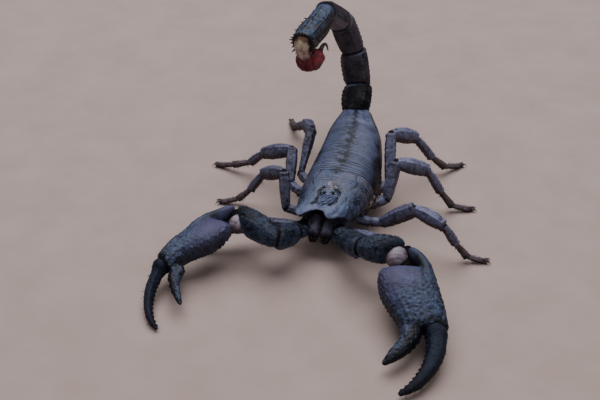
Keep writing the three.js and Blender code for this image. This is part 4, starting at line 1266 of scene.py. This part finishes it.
def hand_form(node, claw, palm, sides, start, end):
    """The palm, its outer lobe and the fixed finger as one smooth skin."""
    wrist, along, flat, back = palm
    inner, outer, low, high = sides
    s, inset = stations(end - start, 80, (1.8, 2.2))
    s = start + s
    lower = 1 - 0.22 * (1 - ramp(s, start, start + 6))
    centre_o, centre_n = (inner(s) + outer(s)) / 2, (low(s) + high(s) * lower) / 2
    half_o, half_n = (outer(s) - inner(s)) / 2 - inset * 0.9, (high(s) * lower - low(s)) / 2 - inset
    angle, o, n = ring_offsets(half_o, half_n, 110, 2.5)
    slant = claw.slant * (1 - ramp(s, start, start + 5))
    grid = (
        wrist + ((s[:, None] + slant[:, None] * o)[..., None] * along)
        + (centre_o[:, None] + o)[..., None] * flat + (centre_n[:, None] + n)[..., None] * back
    )
    body = closed_tube(grid)
    # The outer lobe runs back past the wrist.
    wide = outer(7.0) / 8.4
    shift = claw.lobe_back * np.array([1, 0.6, 0, 0, 0, 0])
    lobe = [[*placed(palm, u - far, f * wide, v), w, h] for (u, f, v, w, h), far in zip(LOBE, shift)]
    lobe = swept(np.array(lobe), back, 60, 44, squareness=2.2, ends=(0.8, 0.8))
    root = measure(triangles(node), wrist + along * 24.6, along, back)[0]
    fixed = walk(node, root, along, back, 0.7, 6)
    fixed[:, 3:] *= claw.finger
    w, h = fixed[0, 3:]
    lead = [*(root - along * claw.behind + flat * claw.out), w * claw.full, h * 1.12]
    fixed = np.vstack([lead, [*root, w * 1.08, h * 1.04], fixed])
    finger = swept(fixed, back, 90, 60, squareness=2.2, ends=(0.6, 0.25))
    points, quads = fused([body, lobe, finger], HAND_VOXEL)
    points = relaxed(points, quads, 0.5 * (1 - ramp((points - wrist) @ along, 27.5, 31.0)), HAND_ROUNDS)
    return relaxed(points, quads, np.full(len(points), 0.3), 3), quads


def hand(side_name, palm):
    """The hand with its fixed finger: pebbles, nodules, keels and a toothed biting edge."""
    wrist, along, flat, back = palm
    node, claw = f"palp_{side_name}_hand", CLAWS[side_name]
    sides, end = palm_profile(side_name, *palm)
    inner, outer = sides[:2]
    start, seed = claw.start, claw.seed
    points, quads = hand_form(node, claw, palm, sides, start, end)
    reach = np.linalg.norm(points - placed(palm, *claw.pale), axis=1)
    socket = claw.radius + 0.1
    normals = vertex_normals(points, quads)
    local = points - wrist
    ls, lo = local @ along, local @ flat
    span = np.clip(ls, start, end)
    share = np.clip((lo - inner(span)) / (outer(span) - inner(span)), 0, 1)
    on_finger = ramp(ls, 22.0, 26.0)
    fade = ramp(ls + (share - 0.4) * 9, 5.0, 20.0)
    fine, coarse = pebbles(points, 0.7, seed), pebbles(points, 1.35, seed + 10)
    dimples = granules(points, 1.05, seed + 30, 0.55) * fade
    facing = normals @ back
    upper = ramp(facing, -0.2, 0.3)
    clear = ramp(reach, socket + 0.2, socket + 1.2)
    height = (0.04 * fine * (1 - fade) + 0.1 * coarse * fade - 0.16 * dimples) * (0.45 + 0.55 * upper) * clear
    edge_in = bell(share, 0.04, 0.06) * (1 - ramp(ls, 20, 23.5)) * ramp(ls, 2.5, 5.0)
    nodules = granules(points, 0.85, seed + 20, 0.6)
    height += (0.42 * nodules + 0.1) * edge_in
    edge_out = bell(share, 0.96, 0.06) * (1 - on_finger) * ramp(ls, -1.0, 2.0)
    height += 0.24 * edge_out * nodules
    # Low keels down the back of the hand toward the fingers, and a furrow by the outer lobe.
    for at, size in ((0.2, 0.16), (0.68, 0.24)):
        height += size * bell(share, at, 0.03) * ramp(ls, 12, 19) * upper * (1 - 0.4 * on_finger)
    crease = bell(share, 0.76, 0.022) * within(ls, 5.0, 6.5, 8, 11.5) * upper
    height -= 0.2 * crease
    biting = ramp(normals @ flat, 0.5, 0.8) * ramp(ls, 24.5, 26.5)
    height += 0.42 * biting * teeth(ls, 1.5) * bell(facing, 0.0, 0.35)
    height += 0.03 * noise(points, 0.5, seed + 4) * clear
    points = points + normals * height[:, None]
    # The back of the hand is painted lighter than its underside, as painted light from above, and its pebbles
    # and dimples show only there.
    tone = 0.44 + (0.16 * fine * (1 - fade) + (0.3 * coarse - 0.1) * fade - 0.42 * dimples + 0.12) * upper
    tone += 0.12 * bell(share, 0.4, 0.3) * (1 - fade) * upper + 0.08 * noise(points, 3.0, seed + 5)
    rim = 1 - ramp(np.minimum(share, (1 - share) * 0.8), 0.0, 0.14)
    # Dark rims along the palm's edges, and painted shade in the crease by the outer lobe.
    tone -= 0.3 * rim * (1 - on_finger) * ramp(ls, 6.0, 9.0) + 0.3 * crease
    # Painted shade round the socket of the pale joint skin.
    tone -= 0.3 * (1 - ramp(reach, socket, socket + 0.9))
    tone -= 0.55 * ramp(ls, 19, 23) * (1 - on_finger) * ramp(share, 0.25, 0.6) + 0.3 * ramp(ls, 28, 33)
    # The fixed finger is darker, most on its side toward the movable finger, where the darkening is painted
    # shade between the fingers.
    tone -= on_finger * (0.12 + 0.6 * ramp(normals @ flat, -0.5, 0.3))
    on_lobe = (1 - ramp(ls, start, start + 4)) * ramp(share, 0.5, 0.72)
    # The outer lobe is darker, most on its side turned away from the movable finger, where the darkening is
    # painted shade.
    tone -= on_lobe * (0.22 + 0.5 * ramp(-(normals @ flat), -0.2, 0.4))
    blue = ramp(ls + (share - 0.4) * 10, 8.0, 18.0) + bell(share, 0.98, 0.16) * (1 - ramp(ls, 8, 14))
    blue = np.maximum(blue, on_lobe)
    stain = np.clip(0.05 + 0.95 * blue + 0.25 * noise(points, 2.0, seed + 6), 0, 1)
    skin = Skin(points, quads, np.empty((0, 3), int), np.clip(tone, 0, 1), stain)
    piece(node, [skin], "hand")


def finger_relief(seed, biting_side):
    def relief(t, angle, grid):
        inside = ramp(t, 0.05, 0.15)
        ridges = keel(angle, 28, 9) + keel(angle, -38, 9)
        height = 0.42 * keel(angle, biting_side, 17) * teeth(t * 22, 1.45) * inside
        height = height + 0.14 * ridges * inside * (1 - 0.7 * t)
        height = height - 0.06 * keel(angle, -5, 12) * inside * (1 - t)
        pips = granules(grid, 0.8, seed, 0.58)
        height = height + 0.1 * pips * (1 - ramp(t, 0.35, 0.9)) + 0.03 * noise(grid, 0.5, seed + 1)
        # The top of the finger and its two ridges are painted lighter, as painted highlights.
        tone = 0.34 + 0.14 * pips + 0.3 * np.cos(angle) - 0.22 * t + 0.12 * noise(grid, 2.0, seed + 2)
        tone = tone + 0.16 * ridges
        stain = 0.5 * ramp(t, 0.6, 1.0) + 0.3 * blotches(grid, 1.0, seed + 3, 0.2, 0.5)
        return height, tone, np.clip(stain, 0, 1)
    return relief


def wrist_relief(seed, centre, along, flat, back):
    def relief(grid):
        folds = 0.04 * np.sin((grid @ along) * 7 + noise(grid, 1.5, seed + 34))
        # The lower part of the pale joint skin is darkened as painted shade.
        low = ramp(-(grid - centre) @ back, -1.6, 0.8)
        pink = blotches(grid, 1.0, seed + 33, 0, 0.6) + ramp(np.abs((grid - centre) @ flat), 1.6, 2.8)
        tone = 0.62 + 0.3 * noise(grid, 1.5, seed + 32) - 0.85 * low
        return folds + 0.06 * noise(grid, 0.8, seed + 31), tone, np.clip(0.5 * pink, 0, 1)
    return relief


pale_skins = []
for side_name in SIDES:
    chain = ["prosoma_underside"] + [f"palp_{side_name}_{part}" for part in (*ARM_SHAPES, "hand")]
    met = [meeting(a, b) for a, b in zip(chain, chain[1:])]
    points = [point for point, _ in met]
    ways = [unit(b - a) for a, b in zip(points, points[1:])]
    claw = CLAWS[side_name]
    base, palm = hand_frame(side_name)
    along, flat, back = palm[1:]
    hand(side_name, palm)
    seed = 700 if side_name == "left" else 760
    before, after = [unit(met[0][1] * 2 - ways[0])] + ways[:2], ways[1:] + [along]
    for k, (label, shape) in enumerate(ARM_SHAPES.items()):
        node = f"palp_{side_name}_{label}"
        a, b, axis = points[k], points[k + 1], ways[k]
        w, h = sized(node, a, b)
        shape = curve(*shape)
        skin = limb(
            a + axis * 0.05, b - axis * 0.1, UP, times(w, shape), times(h, shape),
            arm_relief(seed + k * 8, ARM_RIDGES), count=max(36, int(np.linalg.norm(b - a) / 0.15)),
            around=150, bevel=(1.3, 1.7), squareness=2.05, planes=(before[k], after[k]),
        )
        piece(node, [skin], "arm")
        hair_roots["arm"].append((a, b, w, h, UP, 18, 0.9))
        if k:
            joint_skins.append(ball(a, [w * 0.72, h * 0.72, 1.6], axis + ways[k - 1], UP, 12, 36, 0.1))

    centre = placed(palm, *claw.pale)
    relief = wrist_relief(seed, centre, along, flat, back)
    pale_skins.append(ball(centre, [claw.radius] * 3, unit(ways[2] + along), back, 50, 70, relief=relief))
    # Dark soft lumps under the outer lobe: painted shadow filling the gap between the joint skin, the palm
    # and the lobe.
    for ahead, out, up, *radii in claw.fillings:
        joint_skins.append(ball(placed(palm, ahead, out, up), radii, along, back, 16, 36, -0.5))
    joint_skins.append(ball(points[0] + UP * 0.2, [2.3, 2.3, 1.6], ways[0], UP, 12, 36, 0.2))

    node = f"palp_{side_name}_movable_finger"
    rows = walk(node, base, along, back, 0.7, 7)
    first = rows[0, 3:].copy()
    rows[:4, 3:] *= np.array([1.04, 1.05, 1.04, 1.02])[:, None]
    rows = np.vstack([[*(base - along * 1.9), *(first * 0.86)], [*base, *(first * 1.02)], rows])
    rows[:, 3:] *= (1 - (1 - claw.movable) * ramp(np.arange(len(rows)), 0, 5))[:, None]
    bite = 90 if np.cross(back, along) @ flat < 0 else -90
    skin = swept(rows, back, 150, 96, finger_relief(seed + 40, bite), ends=(1.4, 0.25))
    piece(node, [skin], "finger")
    for near, far in zip(rows[2:-2:3], rows[5::3]):
        hair_roots["arm"].append((near[:3], far[:3], near[3], near[4], UP, 9, 1.1))
    joint_skins.append(ball(
        base - along * 0.2, [rows[0, 3] * 1.05, rows[0, 4] * 0.96, 1.5], along, back, 12, 36, 0.3, 0.5
    ))

piece("wrist_skins", pale_skins, "pale_skin")
piece("sting_skin", [cream], "cream_skin")


# ---------------------------------------------------------------- underside and flanks
def flank():
    low, high = box("flank_membrane")[0][1], box("flank_membrane")[1][1]
    s, inset = stations(high - low, 260, (0.4, 0.4))
    y = low + s
    floor, roof, wide = (read(y) for read in profile("flank_membrane", low + 0.1, high - 0.1, 12))
    _, x, z = ring_offsets(wide - inset, (roof - floor) / 2 - inset, 120, 4)
    grid = barrel(y, x, (roof + floor) / 2, z)
    pleat = np.sin(y[:, None] * 2.1 + noise(grid, 2.0, 801)) * 0.22
    pleat = pleat + np.sin(grid[..., 2] * 5 + noise(grid, 1.2, 802) * 2) * 0.1
    specks = blotches(grid, 0.7, 803, 0.25, 0.5)
    height = -0.1 + pleat * 0.7 + 0.06 * specks
    grid = grid + grid_normals(grid) * height[..., None]
    return closed_tube(grid, 0.4 + 0.5 * pleat, 0.7 * specks)


piece("flank_membrane", [flank()], "skin")


def side_fold(sign):
    """The pleated soft skin that bulges out under the rim of the front plates on one side."""
    y = np.linspace(FRONT + 8.5, PLATE_ENDS[4], 40)
    centre = np.stack([spine_x(y) + sign * (half_width(y) - 0.35), y, rim_height(y) - 1.1], -1)
    swell = np.sin(np.linspace(0.15, math.pi - 0.1, 40)) ** 0.6
    rows = np.concatenate([centre, np.stack([1.15 * swell, 1.3 * swell], -1)], 1)

    def relief(t, angle, grid):
        folds = np.sin(grid[..., 1] * 3.4 + noise(grid, 1.4, 806) * 2.5)
        specks = blotches(grid, 0.55, 807, 0.1, 0.35)
        height = 0.16 * folds + 0.12 * specks
        tone = 0.4 + 0.3 * folds + 0.3 * noise(grid, 0.9, 808)
        return height, tone, np.clip(0.75 * specks * blotches(grid, 2.4, 809, -0.4, 0.3), 0, 1)

    return swept(rows, UP, 220, 48, relief, ends=(0.6, 0.6))


piece("side_folds", [side_fold(1), side_fold(-1)], "side_skin")


def belly():
    low, high = box("belly_plates")[0][1], box("belly_plates")[1][1]
    floor, roof, wide = profile("belly_plates", low + 0.1, high - 0.1, 12)
    ends = np.linspace(0, 1, 6) ** 1.08 * (high - low) + low
    v = np.linspace(0, 1, 60)[:, None]
    u = np.linspace(-1, 1, 121)[None]
    made = []
    for k in range(5):
        a, b = ends[k] + 0.1, ends[k + 1] + (0.1 if k < 4 else -0.1)
        y = a + (b - a) * v + 0 * u
        x = spine_x(y) + wide(y) * 0.98 * u * (1 - 0.03 * bell(v, 0, 0.1))
        top = roof(y) + 0 * u
        bottom = top - (top - floor(y)) * np.sqrt(np.clip(1 - np.abs(u) ** 3, 0, 1)) - 0.03
        grid = np.stack([x, y, bottom], -1)
        pips = granules(grid, 0.6, 820 + k)
        drop = 0.22 * ramp(v, 0.2, 1.0) - 0.05 + 0.05 * pips * ramp(np.abs(u), 0.4, 0.9)
        # A breathing slit on each side, but none on the last plate.
        out = np.abs(u) - 0.6
        slit = bell(out, 0, 0.09) * bell((v - 0.55) * (b - a) - out * 3, 0, 0.32) * (k < 4)
        grid[..., 2] -= drop - 0.4 * slit
        upper = np.stack([x, y, np.maximum(top, grid[..., 2] + 0.25)], -1)
        tone = 0.5 + 0.15 * noise(grid, 2.5, 830 + k) + 0.15 * ramp(v, 0.9, 1.0) - 0.5 * slit
        made.append(closed_plate(upper, grid, tone, 0.3 * ramp(v, 0.85, 1.0)))
    return made


piece("belly_plates", belly(), "belly")


def coxal_region():
    """The leg bases fanned round the breastplate, and the palp bases in front of them."""
    y0, y1 = FRONT + 2.4, box("prosoma_underside")[1][1]
    floor, roof, _ = profile("prosoma_underside", y0 + 0.4, y1 - 0.1, 10, 1.8)
    s, inset = stations(y1 - y0, 120, (0.8, 0.4))
    y = y0 + s
    wide = half_width(y) * 0.87 * (0.7 + 0.3 * ramp(y, y0, y0 + 4))
    top = roof(y) - 2.4 * (1 - ramp(y, y0 + 1, y0 + 6))
    angle, x, z = ring_offsets(wide - inset, (top - floor(y)) / 2 - inset * 0.6 - 0.1, 130, 3)
    grid = barrel(y, x, (top + floor(y)) / 2, z)
    under = ramp(-np.cos(angle), 0.1, 0.7)[None]
    pips = granules(grid, 0.7, 840)
    height = 0.1 * pips - 0.1 + 0.05 * noise(grid, 0.8, 841) - 0.25 * bell(np.abs(x), 2.0, 0.25) * under
    grid = grid + grid_normals(grid) * height[..., None]
    made = [closed_tube(grid, 0.4 + 0.2 * pips + 0.2 * noise(grid, 2, 842), 0.4 * (1 - under))]
    for side_name, sign in SIDES.items():
        for pair in (1, 2, 3, 4):
            name = f"leg_{side_name}_{pair}"
            joint = meeting("prosoma_underside", f"{name}_femur")[0]
            w, h = sized(f"{name}_femur", joint, leg_roots[name])
            mid_y = joint[1] * 0.55 + (FRONT + 11 + pair * 2.2) * 0.45
            root = np.array([spine_x(mid_y) + sign * 3.0, mid_y, floor(mid_y) + 2.0])
            made.append(limb(
                root, joint + unit(joint - root) * 0.4, UP,
                times(w, lambda t: 1.12 - 0.2 * t), times(h, lambda t: 1.1 - 0.15 * t),
                leg_relief(850 + pair * 4, (30, -30, 150, -150), 0.12, 0.2),
                count=60, around=60, bevel=(0.3, 0.6),
            ))
        joint = meeting("prosoma_underside", f"palp_{side_name}_trochanter")[0]
        root = np.array([spine_x(FRONT + 6) + sign * 2.4, FRONT + 6.5, 8.2])
        made.append(limb(
            root, joint + unit(joint - root) * 0.1, UP, lambda t: 2.2 + 0.25 * t, lambda t: 2.1 + 0.1 * t,
            arm_relief(880, (40, -40, 150, -150)), count=60, around=90, bevel=(0.4, 0.7),
        ))
    # Breastplate and genital plate.
    relief = lambda grid: (0.05 * granules(grid, 0.6, 890), 0.55 + 0.2 * noise(grid, 1.5, 891), 0)
    for y, wide, long in ((FRONT + 15.5, 1.9, 2.4), (FRONT + 20.5, 2.2, 1.5)):
        made.append(ball(
            [spine_x(y), y, floor(y) + 0.35], [wide, 0.75, long], REARWARD, UP, 24, 40, relief=relief
        ))
    return made


piece("prosoma_underside", coxal_region(), "leg")


def comb(node, sign):
    """A comb: a jointed shaft with a row of flat teeth behind it."""
    points = triangles(node).reshape(-1, 3)
    inner = points[np.argsort(points[:, 0] * sign)[:12]].mean(0)
    outer = points[np.argsort(-points[:, 0] * sign)[:12]].mean(0)
    axis = unit(outer - inner)
    behind = unit(REARWARD - axis * axis[1])
    made = [limb(
        inner - behind * 0.35, outer - behind * 0.2, UP,
        lambda t: 0.5 + 0.25 * bell(t, 0.45, 0.35), lambda t: 0.3,
        lambda t, a, g: (0.04 * np.sin(t * 24) + 0.02 * noise(g, 0.5, 900), 0.5 + 0.2 * np.sin(t * 24), 0),
        count=60, around=24, bevel=(0.2, 0.3),
    )]
    for share in np.linspace(0.05, 0.95, COMB_TEETH):
        root = inner + (outer - inner) * share
        size = 0.55 + 0.75 * math.sin(math.pi * min(1, 0.25 + share * 0.75))
        made.append(limb(
            root - behind * 0.1, root + behind * size * 1.15 - UP * 0.05, UP,
            lambda t: 0.17 + 0.04 * t, lambda t: 0.13, lambda t, a, g: (0 * t, 0.7 - 0.2 * t, 0.5 * t),
            count=8, around=10, bevel=(0.05, 0.12),
        ))
    return made


def chelicera(node, sign):
    """A jaw: a stout base with a fixed and a movable toothed finger."""
    low, high = box(node)
    x, w = (low[0] + high[0]) / 2, (high[0] - low[0]) / 2
    knee = np.array([x, low[1] + 1.9, high[2] - 2.1])
    # The top of each jaw is painted lighter, as painted light from above, and its underside is stained dark
    # as painted shade; the dark end is its own colour.
    relief = lambda t, a, g: (
        0.16 * granules(g, 0.8, 920) + 0.1 * noise(g, 0.9, 921),
        0.42 + 0.24 * np.cos(a) + 0.36 * noise(g, 1.0, 922) + 0.2 * granules(g, 0.8, 920),
        0.8 * ramp(t, 0.8, 1.0) + 0.8 * ramp(-np.cos(a), 0, 1),
    )
    made = [limb(
        [x, high[1] + 2.5, high[2] - 0.2], knee, UP, lambda t: w * 1.04 * (0.86 + 0.14 * bell(t, 0.6, 0.4)),
        lambda t: 2.8 - t, relief, count=60, around=60, bevel=(0.4, 1.1), squareness=2.2,
    )]
    for offset, size in ((-0.5, 0.62), (0.5, 0.78)):
        start = knee + np.array([offset * sign, 0.5, -0.2])
        tip = np.array([x + (offset * 0.25 - 0.35) * sign, low[1] + 1.0, low[2] + 0.3])
        bend = np.array([offset * 0.5 * sign, -0.6, 0.1])
        made.append(spine(start, tip, size, bend, sides=18, rings=18, tone=0.0, stain=0.8))
        for t in (0.35, 0.55, 0.75):
            spot = start + (tip - start) * t + np.array([0, -0.5, 0.3]) * 4 * t * (1 - t)
            made.append(spine(spot, spot + np.array([-offset * 0.8 * sign, 0.1, -0.3]), 0.2, tone=0.2))
    return made


for part, build, look, slot in (("comb", comb, "comb", "comb"), ("chelicera", chelicera, "jaw", "jaw_shell")):
    for side_name, sign in SIDES.items():
        node = f"{part}_{side_name}"
        piece(node, build(node, sign), look)

# The skin that closes the gap between the jaws and the front edge of the carapace, kept dark as painted shade
# under that edge.
brow = FRONT + 6.5
brow_low, brow_high = rim_height(brow), top_height(brow)
brow_middle = [spine_x(brow), brow, brow_low * 0.62 + brow_high * 0.38 - 0.6]
joint_skins.append(ball(
    brow_middle, [5.6, (brow_high - brow_low) * 0.42, 2.4], REARWARD, UP, 20, 40, 0.1
))
piece("joint_skins", joint_skins, "skin")


# ---------------------------------------------------------------- bristles
def bristles(name, patches, tiles, seed):
    """Fine hairs as closed spikes in one joined piece. A patch is a stretch of limb: its ends, half sizes,
    way up, and number and length of hairs. tiles holds the number of columns and rows on the unwrap and each
    patch's place among them, where each hair keeps a small patch at its root."""
    rng = np.random.default_rng(seed)
    columns, rows, place = tiles
    roots, ways, lengths, places = [], [], [], []
    for number, (a, b, w, h, up, count, length) in enumerate(patches):
        column, row = place(number)
        axis = unit(b - a)
        side, back = across(axis, up)
        t, angle = rng.uniform(0.08, 0.95, count), rng.uniform(0, 2 * math.pi, count)
        out = np.sin(angle)[:, None] * side + np.cos(angle)[:, None] * back
        aside = (np.sin(angle) * w * 0.9)[:, None] * side + (np.cos(angle) * h * 0.9)[:, None] * back
        roots.append(a + np.outer(t, b - a) + aside)
        ways.append(unit(out + axis * rng.uniform(0.2, 0.9, (count, 1)) + rng.normal(0, 0.15, (count, 3))))
        lengths.append(length * rng.uniform(0.5, 1.3, count))
        u, v = (column + 0.05 + 0.9 * angle / (2 * math.pi)) / columns, (row + 0.05 + 0.9 * t) / rows
        places.append(np.stack([u, v], -1))
    roots, ways, lengths, places = (np.concatenate(part) for part in (roots, ways, lengths, places))
    side = unit(np.cross(ways, np.array([0.3, 0.2, 0.9])))
    back = np.cross(ways, side)
    sag = -0.12 * lengths[:, None] * UP
    points, spread = [], []
    for at, size in ((0.0, 1.0), (0.5, 0.65)):
        for corner in range(3):
            turn = 2 * math.pi * corner / 3
            aside = math.cos(turn) * side + math.sin(turn) * back
            points.append(roots + ways * (at * lengths)[:, None] + sag * at ** 2 + aside * 0.075 * size)
            spread.append((math.cos(turn) * size, math.sin(turn) * size))
    points.append(roots + ways * lengths[:, None] + sag)
    spread.append((0.0, 0.0))
    points = np.stack(points, 1)
    points[..., 2] = np.maximum(points[..., 2], 0.02)
    count = len(roots)
    base = (np.arange(count) * 7)[:, None]
    quads = np.concatenate([base + np.array([k, (k + 1) % 3, 3 + (k + 1) % 3, 3 + k]) for k in range(3)])
    tris = np.concatenate([base + np.array(face) for face in ((2, 1, 0), (3, 4, 6), (4, 5, 6), (5, 3, 6))])
    tone = np.tile(np.array([0.3] * 3 + [0.5] * 3 + [0.8]), count)
    obj = piece(name, [Skin(points.reshape(-1, 3), quads, tris, tone, np.zeros(count * 7))], "hair")
    uv = (places[:, None] + 0.0014 * np.array(spread)[None]).reshape(-1, 2)
    corners = read_out(obj.data.loops, "vertex_index", 1, np.int32)[:, 0]
    layer = obj.data.uv_layers.new(name="OFBake")
    layer.data.foreach_set("uv", uv[corners].astype(np.float32).ravel())


for label, slot, seed, tiles in (
    ("leg", "tarsus_shell", 1240, (8, 6, lambda number: divmod(number, 6))),
    ("arm", "arm_shell", 1226, (8, 8, lambda number: divmod(number, 8)[::-1])),
    ("tail", "tail_shell", 1306, (4, 4, lambda number: divmod(number, 4)[::-1])),
):
    bristles(f"{label}_bristles", hair_roots[label], tiles, seed)


# ---------------------------------------------------------------- floor, lights and camera
def floor():
    """A plain pale sheet under the animal, reaching out of sight."""
    mesh = bpy.data.meshes.new("floor")
    n = 24
    x, y = np.meshgrid(*[np.linspace(-1.0, 1.0, n)] * 2)
    points = np.stack([x, y, 0 * x], -1).reshape(-1, 3)
    mesh.from_pydata(points.tolist(), [], grid_quads(n, n, False)[:, ::-1].tolist())
    obj = shown("floor", mesh)
    tree, shader = new_look("floor")
    where = tree.nodes.new("ShaderNodeTexCoord").outputs["Object"]
    soft = grain(tree, where, 60, 6)
    link(tree, blend(tree, soft, linear(158, 135, 125), linear(180, 159, 148)), shader.inputs["Base Color"])
    shader.inputs["Roughness"].default_value = 0.85
    mesh.materials.append(LOOKS["floor"])


floor()


def lamp(name, spot, target, size, power, colour):
    data = bpy.data.lights.new(name, "AREA")
    data.shape = "DISK"
    data.size = size
    data.energy = power
    data.color = colour
    obj = shown(name, data)
    obj.location = spot
    obj.rotation_euler = (Vector(target) - Vector(spot)).to_track_quat("-Z", "Y").to_euler()


middle = (float(EYE_MID[0]) * MM, float(EYE_MID[1]) * MM + 0.02, 0.01)
lamp("sky", (-0.1, 0.3, 0.95), middle, 1.1, 14.0, (0.9, 0.92, 1.0))
lamp("front_fill", (0.35, -0.8, 0.7), middle, 0.5, 1.6, (1.0, 0.96, 0.92))

world = bpy.data.worlds.new("world")
bpy.context.scene.world = world
world.use_nodes = True
sky = world.node_tree.nodes["Background"]
sky.inputs["Color"].default_value = (0.7, 0.78, 0.9, 1)
sky.inputs["Strength"].default_value = 0.22

AZIMUTH, ELEVATION, DISTANCE = math.radians(13.6), math.radians(35.0), 0.324
target = Vector((float(EYE_MID[0]) - 13.03, float(EYE_MID[1]) + 18.9, -0.25)) * MM
toward = Vector((
    math.sin(AZIMUTH) * math.cos(ELEVATION), -math.cos(AZIMUTH) * math.cos(ELEVATION), math.sin(ELEVATION)
))
lens = bpy.data.cameras.new("camera")
lens.lens = 62.0
lens.sensor_width = 36.0
lens.clip_start = 0.01
viewer = shown("camera", lens)
viewer.location = target + toward * DISTANCE
viewer.rotation_euler = toward.to_track_quat("Z", "Y").to_euler()
bpy.context.scene.camera = viewer
